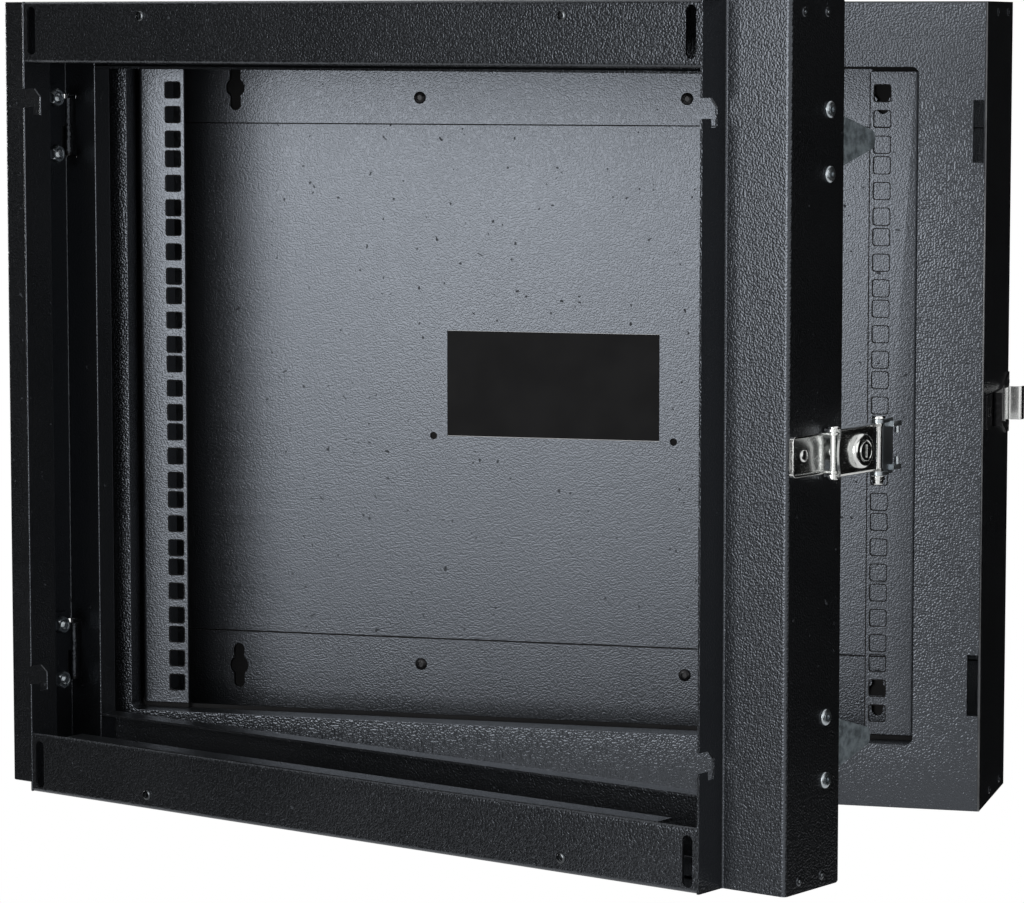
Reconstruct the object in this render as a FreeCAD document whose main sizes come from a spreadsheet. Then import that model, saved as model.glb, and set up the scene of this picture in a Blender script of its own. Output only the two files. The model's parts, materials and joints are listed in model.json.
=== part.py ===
import FreeCAD, Part
import os
import Sketcher

# A wall-mounted swing-out equipment frame. A shallow wall box carries a pair of
# square-holed equipment rails; a deep folded frame hangs on its left edge on two
# lift-off hinges and is closed by a keyed hasp on the right.
# Origin: middle of the wall box's rear face. X to the right, Y into the wall, Z up.
# The swing frame's pieces are drawn closed, with the hinge axis as their own origin.

doc = FreeCAD.newDocument("SwingFrame")
sheet = doc.addObject("Spreadsheet::Sheet", "Sizes")
UP = FreeCAD.Vector(0, 0, 1)
ALONG_X = FreeCAD.Rotation(FreeCAD.Vector(0, 1, 0), 90)
ALONG_Y = FreeCAD.Rotation(FreeCAD.Vector(1, 0, 0), -90)
NEAR = 1e-4
nodes = []


class Dim:
    """A length known both as sheet expression and as present value."""

    def __init__(self, text, value):
        self.text = text
        self.value = float(value)

    @staticmethod
    def of(thing):
        """Turn a plain number into a Dim, and leave a Dim as it is."""
        if isinstance(thing, Dim):
            return thing
        return Dim(repr(thing), thing)

    def _join(self, sign, other, value):
        return Dim("(%s %s %s)" % (self.text, sign, other.text), value)

    def __add__(self, other):
        other = Dim.of(other)
        return self._join("+", other, self.value + other.value)

    def __sub__(self, other):
        other = Dim.of(other)
        return self._join("-", other, self.value - other.value)

    def __mul__(self, other):
        other = Dim.of(other)
        return self._join("*", other, self.value * other.value)

    def __truediv__(self, other):
        other = Dim.of(other)
        return self._join("/", other, self.value / other.value)

    def __neg__(self):
        return Dim("(0 - %s)" % self.text, -self.value)

    __radd__ = __add__
    __rmul__ = __mul__

    def __rsub__(self, other):
        return Dim.of(other) - self


def size(alias, value):
    """Write one driving size to the sheet under its name."""
    size.row += 1
    cell = "B%d" % size.row
    sheet.set("A%d" % size.row, alias)
    sheet.set(cell, str(value))
    sheet.setAlias(cell, alias)
    return Dim("Sizes." + alias, value)


size.row = 0

# Overall
width = size("width", 600)
height = size("height", 500)
sheet_gauge = size("sheet_gauge", 1.5)
bend = size("bend", 1.2)
play = size("play", 0.1)
running = size("running", 0.05)
seat_gap = size("seat_gap", 0.2)

# Wall box
wall_depth = size("wall_depth", 102)
open_width = size("open_width", 516)
open_height = size("open_height", 420)
open_corner = size("open_corner", 4.5)
edge_round = size("edge_round", 1.2)
rail_setback = size("rail_setback", 17)
slot_width = size("slot_width", 6.5)
slot_height = size("slot_height", 38)
catch_edge = size("catch_edge", 79)
strip_edge = size("strip_edge", 9)
strip_tall = size("strip_tall", 70)
strip_side_gap = size("strip_side_gap", 4)
key_x = size("key_x", 218)
key_edge = size("key_edge", 56)
key_round = size("key_round", 13)
key_slot = size("key_slot", 7.5)
key_long = size("key_long", 30)
entry_width = size("entry_width", 144)
entry_height = size("entry_height", 70)
entry_hole_x = size("entry_hole_x", 81.5)
entry_hole_drop = size("entry_hole_drop", 35)
entry_hole = size("entry_hole", 5)
blank_gauge = size("blank_gauge", 0.8)
panel_screw_x = size("panel_screw_x", 90)
panel_screw_edge = size("panel_screw_edge", 62)
panel_screw = size("panel_screw", 5)
panel_head = size("panel_head", 8)
panel_head_tall = size("panel_head_tall", 2)

# Equipment rails
rail_gauge = size("rail_gauge", 2)
rail_inner = size("rail_inner", 225)
rail_face = size("rail_face", 31.5)
rail_web = size("rail_web", 60)
rail_end = size("rail_end", 7)
hole_half_span = size("hole_half_span", 232.55)
hole_square = size("hole_square", 10.2)
hole_ease = size("hole_ease", 1)
unit_pitch = size("unit_pitch", 44.45)
unit_count = size("unit_count", 9)
hole_first = size("hole_first", 6.35)
hole_step = size("hole_step", 15.875)
rail_bracket_in = size("rail_bracket_in", 30)
rail_bracket_tab = size("rail_bracket_tab", 14)
rail_bracket_tall = size("rail_bracket_tall", 40)
rail_bracket_step = size("rail_bracket_step", 100)

# Hinges
open_angle = size("open_angle", 22.2)
hinge_inset = size("hinge_inset", 4)
hinge_out = size("hinge_out", 5.5)
swing_gap = size("swing_gap", 3.5)
plate_gauge = size("plate_gauge", 3)
barrel = size("barrel", 7)
pin_size = size("pin_size", 4)
pin_head = size("pin_head", 6.4)
pin_head_tall = size("pin_head_tall", 1.8)
pin_rise = size("pin_rise", 14)
bore_rise = size("bore_rise", 15)
half_barrel = size("half_barrel", 17.5)
barrel_gap = size("barrel_gap", 0.3)
hinge_notch = size("hinge_notch", 40)
notch_run = size("notch_run", 6)
bracket_run = size("bracket_run", 44)
bracket_tall = size("bracket_tall", 36)
bracket_bolt_in = size("bracket_bolt_in", 24)
bracket_bolt_step = size("bracket_bolt_step", 9)
leaf_run = size("leaf_run", 25)
leaf_back = size("leaf_back", 6.5)
leaf_tall = size("leaf_tall", 52)

# Swing frame
wall_run = size("wall_run", 56)
box_run = size("box_run", 23)
flange = size("flange", 38.5)
free_flange = size("free_flange", 42.5)
rear_flange = size("rear_flange", 40)
rear_lip = size("rear_lip", 15)
end_round = size("end_round", 4.5)
face_tall = size("face_tall", 38)
rear_tall = size("rear_tall", 42)
front_lip = size("front_lip", 16)
lip_end = size("lip_end", 30)
face_slot = size("face_slot", 7)
face_slot_tall = size("face_slot_tall", 30)
face_slot_in = size("face_slot_in", 8)
face_slot_edge = size("face_slot_edge", 3)
face_screw_in = size("face_screw_in", 9)
face_screw_half = size("face_screw_half", 161)
face_screw = size("face_screw", 3.8)
face_screw_head = size("face_screw_head", 6.4)
face_screw_head_tall = size("face_screw_head_tall", 1.6)
face_screw_long = size("face_screw_long", 9)
hook_deep = size("hook_deep", 14.5)
hook_mouth = size("hook_mouth", 11.5)
hook_leg = size("hook_leg", 6)
hook_drop = size("hook_drop", 5)
hook_ease = size("hook_ease", 5)
hook_top_edge = size("hook_top_edge", 54.3)
hook_foot_edge = size("hook_foot_edge", 80.4)
bolt_spread = size("bolt_spread", 18)
bolt_in = size("bolt_in", 16)
bolt = size("bolt", 6)
bolt_head = size("bolt_head", 9.5)
bolt_head_tall = size("bolt_head_tall", 2)
bolt_past_nut = size("bolt_past_nut", 1.5)
nut_flats = size("nut_flats", 10)
nut_tall = size("nut_tall", 5)
gusset_run = size("gusset_run", 36)
gusset_reach = size("gusset_reach", 72)
gusset_tab = size("gusset_tab", 15)
gusset_back = size("gusset_back", 15.3)
rivet = size("rivet", 4)
rivet_head = size("rivet_head", 5.6)
rivet_head_tall = size("rivet_head_tall", 0.8)
rivet_edge = size("rivet_edge", 7)
rivet_back = size("rivet_back", 19)
rivet_step = size("rivet_step", 23)

# Guide tongues
tongue_gauge = size("tongue_gauge", 2.5)
tongue_reach = size("tongue_reach", 37)
tongue_base = size("tongue_base", 32)
tongue_tip = size("tongue_tip", 9)
tongue_tip_round = size("tongue_tip_round", 4)
tongue_in = size("tongue_in", 32)
tongue_lap = size("tongue_lap", 4)
tongue_shy = size("tongue_shy", 3)
tongue_slot_clear = size("tongue_slot_clear", 1)

# Hasp
hasp_drop = size("hasp_drop", 2.5)
tray_front_gap = size("tray_front_gap", 1)
tray_run = size("tray_run", 50)
tray_tall = size("tray_tall", 23)
tray_gauge = size("tray_gauge", 1.5)
tray_rim = size("tray_rim", 3)
tray_round = size("tray_round", 3)
lever_gauge = size("lever_gauge", 1.5)
lever_tall = size("lever_tall", 27)
lever_high = size("lever_high", 11)
lever_clear = size("lever_clear", 1)
lever_face_run = size("lever_face_run", 33)
lever_nose = size("lever_nose", 3)
pivot_back = size("pivot_back", 18)
pivot_high = size("pivot_high", 5.5)
pivot_pin = size("pivot_pin", 4)
ear_round = size("ear_round", 3.5)
rod_back = size("rod_back", 24)
rod_high = size("rod_high", 8)
rod_size = size("rod_size", 5)
rod_head = size("rod_head", 8)
rod_head_tall = size("rod_head_tall", 1.7)
rod_foot_tall = size("rod_foot_tall", 5)
rod_ear = size("rod_ear", 3)
fork_gauge = size("fork_gauge", 2)
fork_side_gap = size("fork_side_gap", 0.4)
fork_wide = size("fork_wide", 7.6)
fork_reach = size("fork_reach", 20)
fork_peg = size("fork_peg", 3)
fork_peg_long = size("fork_peg_long", 7)
fork_plate_start = size("fork_plate_start", 4)
fork_plate_end = size("fork_plate_end", 14.5)
fork_finger = size("fork_finger", 5)
fork_finger_tall = size("fork_finger_tall", 3)
lock_back = size("lock_back", 1)
lock_round = size("lock_round", 20)
lock_proud = size("lock_proud", 3.6)
lock_dome = size("lock_dome", 2.6)
lock_inside = size("lock_inside", 4)
plug_round = size("plug_round", 11)
plug_proud = size("plug_proud", 0.4)
keyway_wide = size("keyway_wide", 1.6)
keyway_tall = size("keyway_tall", 7)
keyway_deep = size("keyway_deep", 2)
tray_rivet_in = size("tray_rivet_in", 14)
tray_rivet_step = size("tray_rivet_step", 29)
dome_tall = size("dome_tall", 1.2)
dome = size("dome", 7)

# Keeper
keeper_tall = size("keeper_tall", 21)
keeper_gauge = size("keeper_gauge", 1.5)
keeper_draw = size("keeper_draw", 1)
keeper_lip = size("keeper_lip", 6)
keeper_back = size("keeper_back", 86)
keeper_post = size("keeper_post", 12)
keeper_tab_foot = size("keeper_tab_foot", 14)
keeper_flare = size("keeper_flare", 38)
keeper_flare_run = size("keeper_flare_run", 18)
keeper_foot = size("keeper_foot", 11)
keeper_curl = size("keeper_curl", 5)
wear_front = size("wear_front", 10)
wear_run = size("wear_run", 20)
wear_gauge = size("wear_gauge", 1)
wear_rivet_in = size("wear_rivet_in", 6)
keeper_rivet_in = size("keeper_rivet_in", 5.5)
keeper_rivet_half = size("keeper_rivet_half", 13)

# Derived places
half_width = width / 2
half_height = height / 2
inside_x = half_width - sheet_gauge
face_y = -wall_depth
behind_face = sheet_gauge - wall_depth
rail_y = rail_setback - wall_depth
hinge_x = hinge_inset - half_width
hinge_y = -(wall_depth + hinge_out)
rear_y = hinge_out - swing_gap
flange_y = rear_y - wall_run
front_y = flange_y - box_run
left_x = -hinge_inset
right_x = width - hinge_inset
middle_x = half_width - hinge_inset
bolt_y = rear_y - bolt_in
box_left = left_x + flange + sheet_gauge
box_right = right_x - free_flange - sheet_gauge
catch_height = half_height - catch_edge
key_z = half_height - key_edge
panel_screw_z = half_height - panel_screw_edge
hook_high = half_height - hook_top_edge
hook_low = hook_foot_edge - half_height
rail_tall = unit_pitch * unit_count + 2 * rail_end
rail_outer = rail_inner + rail_face
hook_y = rear_y + rod_back
keeper_front = hinge_y + hook_y + fork_reach - fork_peg / 2 - keeper_draw - keeper_gauge


def bind(thing, prop, dim):
    """Tie one property of an object to the sheet."""
    thing.setExpression(prop, Dim.of(dim).text)


def place(thing, x, y, z, turn=None):
    """Put an object at expressions of the sheet, turned as given."""
    if turn is not None:
        thing.Placement = FreeCAD.Placement(FreeCAD.Vector(), turn)
    bind(thing, "Placement.Base.x", x)
    bind(thing, "Placement.Base.y", y)
    bind(thing, "Placement.Base.z", z)


def block(name, x, y, z):
    """A box between two expressions along each axis."""
    thing = doc.addObject("Part::Box", name)
    bind(thing, "Length", Dim.of(x[1]) - x[0])
    bind(thing, "Width", Dim.of(y[1]) - y[0])
    bind(thing, "Height", Dim.of(z[1]) - z[0])
    place(thing, x[0], y[0], z[0])
    return thing


def rod(name, x, y, z, across, run, turn=None):
    """A cylinder of a given diameter from a point along Z, or turned to X or Y."""
    thing = doc.addObject("Part::Cylinder", name)
    bind(thing, "Radius", Dim.of(across) / 2)
    bind(thing, "Height", run)
    place(thing, x, y, z, turn)
    return thing


def hexagon(name, x, y, z, flats, run, turn):
    """A hexagonal prism of a given width over flats."""
    thing = doc.addObject("Part::Prism", name)
    thing.Polygon = 6
    thing.setExpression("Circumradius", "%s / 2 / cos(30 deg)" % Dim.of(flats).text)
    bind(thing, "Height", run)
    place(thing, x, y, z, turn)
    return thing


def join(name, things):
    """One solid of several overlapping ones."""
    thing = doc.addObject("Part::MultiFuse", name)
    thing.Shapes = things
    thing.Refine = True
    return thing


def minus(name, base, tools):
    """A solid less one tool or several."""
    cutter = tools[0]
    if len(tools) > 1:
        cutter = join(name + "_tools", tools)
    thing = doc.addObject("Part::Cut", name)
    thing.Base = base
    thing.Tool = cutter
    thing.Refine = True
    return thing


def group(name, things):
    """Separate equal solids kept together as one named set."""
    thing = doc.addObject("Part::Compound", name)
    thing.Links = things
    return thing


def keep(thing, name):
    """Hand one finished piece in under its name."""
    thing.Label = name
    nodes.append(thing)
    return thing


def keep_on_swing(thing, name, lift=0):
    """Hand in a piece drawn about the hinge axis, with the frame swung open."""
    bind(thing, "Placement.Base.x", hinge_x)
    bind(thing, "Placement.Base.y", hinge_y)
    bind(thing, "Placement.Base.z", lift)
    bind(thing, "Placement.Rotation.Angle", -open_angle)
    return keep(thing, name)


def new_body(name):
    """An empty body."""
    return doc.addObject("PartDesign::Body", name)


def new_sketch(body, role, offset=0):
    """A sketch on one of the body's own planes, moved along the plane's normal."""
    sketch = body.newObject("Sketcher::SketchObject", body.Name + "_sketch")
    plane = [p for p in body.Origin.OriginFeatures if p.Role == role][0]
    sketch.AttachmentSupport = [(plane, "")]
    sketch.MapMode = "FlatFace"
    bind(sketch, "AttachmentOffset.Base.z", offset)
    return sketch


def pin_point(sketch, piece, end, x, y):
    """Tie a sketch point's two coordinates to the sheet."""
    for kind, dim in (("DistanceX", Dim.of(x)), ("DistanceY", Dim.of(y))):
        index = sketch.addConstraint(Sketcher.Constraint(kind, -1, 1, piece, end, dim.value))
        bind(sketch, "Constraints[%d]" % index, dim)


def outline(sketch, corners):
    """A closed polygon with every corner tied to the sheet."""
    corners = [(Dim.of(x), Dim.of(y)) for x, y in corners]
    first = sketch.GeometryCount
    count = len(corners)
    for i in range(count):
        here = FreeCAD.Vector(corners[i][0].value, corners[i][1].value)
        there = corners[(i + 1) % count]
        sketch.addGeometry(Part.LineSegment(here, FreeCAD.Vector(there[0].value, there[1].value)), False)
    for i in range(count):
        sketch.addConstraint(Sketcher.Constraint("Coincident", first + i, 2, first + (i + 1) % count, 1))
    for i in range(count):
        pin_point(sketch, first + i, 1, corners[i][0], corners[i][1])


def window(sketch, x, y):
    """A rectangle between two expressions each way."""
    outline(sketch, [(x[0], y[0]), (x[1], y[0]), (x[1], y[1]), (x[0], y[1])])


def eased_window(sketch, x, y, half, ease):
    """A square about a point with its corners cut."""
    far = half - ease
    spots = [(-half, -far), (-far, -half), (far, -half), (half, -far),
             (half, far), (far, half), (-far, half), (-half, far)]
    outline(sketch, [(x + across, y + up) for across, up in spots])


def ring(sketch, x, y, across):
    """A circle of a given diameter."""
    x = Dim.of(x)
    y = Dim.of(y)
    across = Dim.of(across)
    centre = FreeCAD.Vector(x.value, y.value)
    piece = sketch.addGeometry(Part.Circle(centre, UP, across.value / 2), False)
    pin_point(sketch, piece, 3, x, y)
    index = sketch.addConstraint(Sketcher.Constraint("Diameter", piece, across.value))
    bind(sketch, "Constraints[%d]" % index, across)


def pad(body, sketch, run):
    """Material from the sketch along its normal."""
    feature = body.newObject("PartDesign::Pad", body.Name + "_pad")
    feature.Profile = sketch
    bind(feature, "Length", run)
    return feature


def pocket(body, sketch, run):
    """A cut from the sketch along its normal."""
    feature = body.newObject("PartDesign::Pocket", body.Name + "_pocket")
    feature.Profile = sketch
    feature.Reversed = True
    bind(feature, "Length", run)
    return feature


def edges_along(body, axis, places):
    """Names of the tip's straight edges along an axis that pass through given places."""
    doc.recompute()
    others = [i for i in range(3) if i != axis]
    wanted = [(Dim.of(a).value, Dim.of(b).value) for a, b in places]
    found = []
    for number, edge in enumerate(body.Tip.Shape.Edges):
        ends = [v.Point for v in edge.Vertexes]
        if len(ends) < 2:
            continue
        if max(abs(ends[0][i] - ends[1][i]) for i in others) > NEAR:
            continue
        spot = [ends[0][i] for i in others]
        if any(max(abs(spot[0] - a), abs(spot[1] - b)) < NEAR for a, b in wanted):
            found.append("Edge%d" % (number + 1))
    return found


def round_edges(body, axis, places, radius):
    """Round the tip's edges along one axis at given places."""
    names = edges_along(body, axis, places)
    base = body.Tip
    feature = body.newObject("PartDesign::Fillet", body.Name + "_round")
    feature.Base = (base, names)
    bind(feature, "Radius", radius)
    return feature


def round_rim(body, axis, place, across, radius):
    """Round the tip's circular edge of a given diameter at a place along an axis."""
    doc.recompute()
    place = Dim.of(place).value
    half = Dim.of(across).value / 2
    names = []
    for number, edge in enumerate(body.Tip.Shape.Edges):
        if not isinstance(edge.Curve, Part.Circle):
            continue
        if abs(edge.Curve.Radius - half) < NEAR and abs(edge.Curve.Center[axis] - place) < NEAR:
            names.append("Edge%d" % (number + 1))
    base = body.Tip
    feature = body.newObject("PartDesign::Fillet", body.Name + "_rim")
    feature.Base = (base, names)
    bind(feature, "Radius", radius)


def fold(body, plane, corners, start, run, bends, gauge):
    """A folded strip: its section run along a plane's normal, each bend rounded inside and out."""
    role, axis = plane
    sketch = new_sketch(body, role, start)
    outline(sketch, corners)
    pad(body, sketch, run)
    round_edges(body, axis, [corners[inside] for inside, outside in bends], bend)
    round_edges(body, axis, [corners[outside] for inside, outside in bends], bend + gauge)


PLAN = ("XY_Plane", 2)
FRONT = ("XZ_Plane", 1)
SIDE = ("YZ_Plane", 0)
LEVELS = (("upper", 1), ("lower", -1))
SIDES = (("left", -1), ("right", 1))


def wall_box():
    """The five welded sheets of the wall box and its back."""
    body = new_body("wall_face")
    sketch = new_sketch(body, FRONT[0], -behind_face)
    window(sketch, (-half_width, half_width), (-half_height, half_height))
    window(sketch, (-open_width / 2, open_width / 2), (-open_height / 2, open_height / 2))
    pad(body, sketch, sheet_gauge)
    sketch = new_sketch(body, FRONT[0], -rail_y)
    far_x = open_width / 2 + sheet_gauge
    far_z = open_height / 2 + sheet_gauge
    window(sketch, (-far_x, far_x), (-far_z, far_z))
    window(sketch, (-open_width / 2, open_width / 2), (-open_height / 2, open_height / 2))
    pad(body, sketch, rail_setback - sheet_gauge)
    corners = [(sx * open_width / 2, sz * open_height / 2) for sx in (-1, 1) for sz in (-1, 1)]
    round_edges(body, FRONT[1], corners, open_corner)
    round_edges(body, FRONT[1], [(sx * far_x, sz * far_z) for sx in (-1, 1) for sz in (-1, 1)],
                open_corner + sheet_gauge)
    sketch = new_sketch(body, FRONT[0], -behind_face - sheet_gauge)
    for sx in (-1, 1):
        for sz in (-1, 1):
            middle = sx * (inside_x - slot_width / 2)
            window(sketch, (middle - slot_width / 2, middle + slot_width / 2),
                   (sz * catch_height - slot_height / 2, sz * catch_height + slot_height / 2))
    pocket(body, sketch, 3 * sheet_gauge)
    round_edges(body, SIDE[1], [(face_y, -half_height), (face_y, half_height)], edge_round)
    round_edges(body, PLAN[1], [(-half_width, face_y), (half_width, face_y)], edge_round)
    keep(body, "wall_face")

    for side, sign in SIDES:
        body = new_body("wall_" + side)
        sketch = new_sketch(body, SIDE[0], sign * half_width - (1 + sign) / 2 * sheet_gauge)
        window(sketch, (behind_face, -sheet_gauge), (-half_height, half_height))
        if sign < 0:
            for y, z in bracket_bolt_spots():
                ring(sketch, y, z, bolt + 2 * play)
        else:
            for y, z, lift in keeper_rivet_spots():
                ring(sketch, y, z - hasp_drop, rivet + 2 * play)
        pad(body, sketch, sheet_gauge)
        keep(body, "wall_" + side)
    for level, sign in LEVELS:
        base = sign * half_height - (1 + sign) / 2 * sheet_gauge
        thing = block("wall_" + level, (-inside_x, inside_x), (behind_face, -sheet_gauge),
                      (base, base + sheet_gauge))
        keep(thing, {"upper": "wall_top", "lower": "wall_bottom"}[level])

    tools = keyholes("panel", -2 * sheet_gauge, 3 * sheet_gauge, LEVELS)
    tools += panel_screw_holes("panel", LEVELS)
    tools.append(block("panel_entry", (-entry_width / 2, entry_width / 2),
                       (-2 * sheet_gauge, sheet_gauge), (-entry_height / 2, entry_height / 2)))
    for side, sign in SIDES:
        tools.append(rod("entry_hole_" + side, sign * entry_hole_x, -2 * sheet_gauge, -entry_hole_drop,
                         entry_hole, 3 * sheet_gauge, ALONG_Y))
    panel = block("panel_sheet", (-half_width, half_width), (-sheet_gauge, 0), (-half_height, half_height))
    keep(minus("back_panel", panel, tools), "back_panel")
    for level, sign in LEVELS:
        tools = keyholes("strip_" + level, -3 * sheet_gauge, 3 * sheet_gauge, ((level, sign),))
        tools += panel_screw_holes("strip_" + level, ((level, sign),))
        low = sign * (half_height - strip_edge - strip_tall / 2) - strip_tall / 2
        strip = block("strip_sheet_" + level, (strip_side_gap - inside_x, inside_x - strip_side_gap),
                      (-2 * sheet_gauge, -sheet_gauge), (low, low + strip_tall))
        keep(minus("mounting_strip_" + level, strip, tools), "mounting_strip_" + level)
    fit_x = entry_width / 2 - seat_gap
    fit_z = entry_height / 2 - seat_gap
    blank = block("cable_entry_blank", (-fit_x, fit_x), (-blank_gauge, 0), (-fit_z, fit_z))
    keep(blank, "cable_entry_blank")
    screws = []
    for side, sx in SIDES:
        for level, sz in LEVELS:
            name = "panel_screw_%s_%s" % (side, level)
            head = rod(name + "_head", sx * panel_screw_x, -2 * sheet_gauge - panel_head_tall,
                       sz * panel_screw_z, panel_head, panel_head_tall, ALONG_Y)
            shank = rod(name + "_shank", sx * panel_screw_x, -2 * sheet_gauge - panel_head_tall,
                        sz * panel_screw_z, panel_screw, 2 * sheet_gauge + panel_head_tall, ALONG_Y)
            screws.append(join(name, [head, shank]))
    keep(group("panel_screws", screws), "panel_screws")


def keyholes(name, start, run, levels):
    """Cutters for the double-ended keyholes that hang the box on wall screws."""
    tools = []
    for side, sx in SIDES:
        for level, sz in levels:
            tag = "%s_key_%s_%s" % (name, side, level)
            x = sx * key_x
            z = sz * key_z
            half = key_long / 2 - key_slot / 2
            tools.append(rod(tag + "_round", x, start, z, key_round, run, ALONG_Y))
            tools.append(block(tag + "_slot", (x - key_slot / 2, x + key_slot / 2),
                               (start, start + run), (z - half, z + half)))
            tools.append(rod(tag + "_top", x, start, z + half, key_slot, run, ALONG_Y))
            tools.append(rod(tag + "_foot", x, start, z - half, key_slot, run, ALONG_Y))
    return tools


def panel_screw_holes(name, levels):
    """Cutters for the screws that hold the mounting strips."""
    tools = []
    for side, sx in SIDES:
        for level, sz in levels:
            tools.append(rod("%s_screw_%s_%s" % (name, side, level), sx * panel_screw_x, -3 * sheet_gauge,
                             sz * panel_screw_z, panel_screw + 2 * play, 4 * sheet_gauge, ALONG_Y))
    return tools


def equipment_rails():
    """Two angle rails with the square-hole pattern of nineteen-inch equipment."""
    for side, sign in SIDES:
        body = new_body("rail_" + side)
        outer = rail_outer
        back = rail_y + rail_gauge + rail_web
        corners = [(rail_inner, rail_y), (outer, rail_y), (outer, back), (outer - rail_gauge, back),
                   (outer - rail_gauge, rail_y + rail_gauge), (rail_inner, rail_y + rail_gauge)]
        corners = [(sign * x, y) for x, y in corners]
        fold(body, PLAN, corners, -rail_tall / 2, rail_tall, [(4, 1)], rail_gauge)
        sketch = new_sketch(body, FRONT[0], -rail_y - 2 * rail_gauge)
        low = -unit_pitch * unit_count / 2 + hole_first
        for step in range(3):
            eased_window(sketch, sign * hole_half_span, low + step * hole_step, hole_square / 2, hole_ease)
        cut = pocket(body, sketch, 3 * rail_gauge)
        repeat = body.newObject("PartDesign::LinearPattern", body.Name + "_units")
        repeat.Originals = [cut]
        repeat.Direction = (sketch, ["V_Axis"])
        bind(repeat, "Length", unit_pitch * (unit_count - 1))
        bind(repeat, "Occurrences", unit_count)
        body.Tip = repeat
        keep(body, "rail_" + side)
        wall = inside_x
        step_y = rail_y + rail_gauge + rail_bracket_in
        corners = [(outer, step_y - rail_bracket_tab), (outer + sheet_gauge, step_y - rail_bracket_tab),
                   (outer + sheet_gauge, step_y - sheet_gauge), (wall, step_y - sheet_gauge),
                   (wall, step_y + rail_bracket_tab), (wall - sheet_gauge, step_y + rail_bracket_tab),
                   (wall - sheet_gauge, step_y), (outer, step_y)]
        corners = [(sign * x, y) for x, y in corners]
        for level, sz in LEVELS:
            body = new_body("rail_bracket_%s_%s" % (level, side))
            low = sz * rail_bracket_step - rail_bracket_tall / 2
            fold(body, PLAN, corners, low, rail_bracket_tall, [(2, 7), (6, 3)], sheet_gauge)
            keep(body, body.Name)


def bracket_bolt_spots():
    """Where the hinge brackets are bolted to the left wall, as depth and height."""
    y = behind_face + bracket_bolt_in
    return [(y, sz * catch_height + step * bracket_bolt_step) for sz in (-1, 1) for step in (-1, 1)]


def keeper_rivet_spots():
    """Rivets of the keeper and of the wear plate: depth, height and what they hold."""
    behind = face_y + keeper_back + keeper_rivet_in
    spots = [(behind, step * keeper_rivet_half, keeper_gauge) for step in (-1, 1)]
    ends = (face_y + wear_front + wear_rivet_in, face_y + wear_front + wear_run - wear_rivet_in)
    return spots + [(y, Dim.of(0), wear_gauge) for y in ends]


def hinges():
    """Lift-off hinges: brackets and pins on the wall box, leaves on the frame."""
    bolts = []
    nuts = []
    for y, z in bracket_bolt_spots():
        tag = "bracket_bolt_%d" % len(bolts)
        head = rod(tag + "_head", -half_width - bolt_head_tall, y, z, bolt_head, bolt_head_tall, ALONG_X)
        run = bolt_head_tall + sheet_gauge + plate_gauge + nut_tall + bolt_past_nut
        shank = rod(tag + "_shank", -half_width - bolt_head_tall, y, z, bolt, run, ALONG_X)
        bolts.append(join(tag, [head, shank]))
        nuts.append(nut("bracket_nut_%d" % len(nuts), plate_gauge - inside_x, y, z))
    keep(group("bracket_bolts", bolts), "bracket_bolts")
    keep(group("bracket_nuts", nuts), "bracket_nuts")
    for level, sign in LEVELS:
        middle = sign * catch_height
        low = middle - half_barrel
        top = middle - barrel_gap
        name = "hinge_bracket_" + level
        plate_x = (-inside_x, plate_gauge - inside_x)
        solid = join(name + "_solid", [
            rod(name + "_barrel", hinge_x, hinge_y, low, barrel, top - low),
            block(name + "_neck", plate_x, (hinge_y, behind_face + bolt), (low, top)),
            block(name + "_plate", plate_x, (behind_face + seat_gap, behind_face + bracket_run),
                  (middle - bracket_tall / 2, middle + bracket_tall / 2))])
        tools = [rod(name + "_bore", hinge_x, hinge_y, low - play, pin_size + play, 2 * half_barrel)]
        for step in (-1, 1):
            tools.append(rod("%s_hole_%d" % (name, step), -half_width, behind_face + bracket_bolt_in,
                             middle + step * bracket_bolt_step, bolt + 2 * play, 3 * plate_gauge, ALONG_X))
        keep(minus(name, solid, tools), name)
        name = "hinge_pin_" + level
        shaft = rod(name + "_shaft", hinge_x, hinge_y, low - pin_head_tall, pin_size,
                    pin_head_tall + half_barrel + pin_rise)
        head = rod(name + "_head", hinge_x, hinge_y, low - pin_head_tall, pin_head, pin_head_tall)
        keep(join(name, [shaft, head]), name)
        name = "hinge_leaf_" + level
        leaf_x = (left_x + sheet_gauge, left_x + sheet_gauge + plate_gauge)
        solid = join(name + "_solid", [
            rod(name + "_barrel", 0, 0, middle, barrel, half_barrel),
            block(name + "_neck", leaf_x, (-leaf_back - bolt, 0), (middle, middle + half_barrel)),
            block(name + "_plate", leaf_x, (-leaf_back - leaf_run, -leaf_back),
                  (middle - leaf_tall / 2, middle + leaf_tall / 2))])
        tools = [rod(name + "_bore", 0, 0, middle - play, pin_size + 2 * running, bore_rise + play)]
        for step in (-1, 1):
            tools.append(rod("%s_hole_%d" % (name, step), left_x, bolt_y, middle + step * bolt_spread,
                             bolt + 2 * play, 3 * plate_gauge, ALONG_X))
        keep_on_swing(minus(name, solid, tools), name)


def nut(name, x, y, z):
    """A hexagon nut lying along X."""
    solid = hexagon(name + "_solid", x, y, z, nut_flats, nut_tall, ALONG_X)
    bore = rod(name + "_bore", x - play, y, z, bolt + 2 * play, nut_tall + 2 * play, ALONG_X)
    return minus(name, solid, [bore])


def from_side(sign, distance):
    """X of something a distance in from the swing frame's left or right face."""
    if sign < 0:
        return left_x + distance
    return right_x - distance


def span(sign, near, far):
    """Low and high X of something between two distances in from one side."""
    ends = (from_side(sign, near), from_side(sign, far))
    return ends if sign < 0 else (ends[1], ends[0])


def frame_bolt_spots():
    """Bolts of the hinge leaves and tongues, as depth and height."""
    return [(bolt_y, sz * catch_height + step * bolt_spread) for sz in (-1, 1) for step in (-1, 1)]


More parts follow.
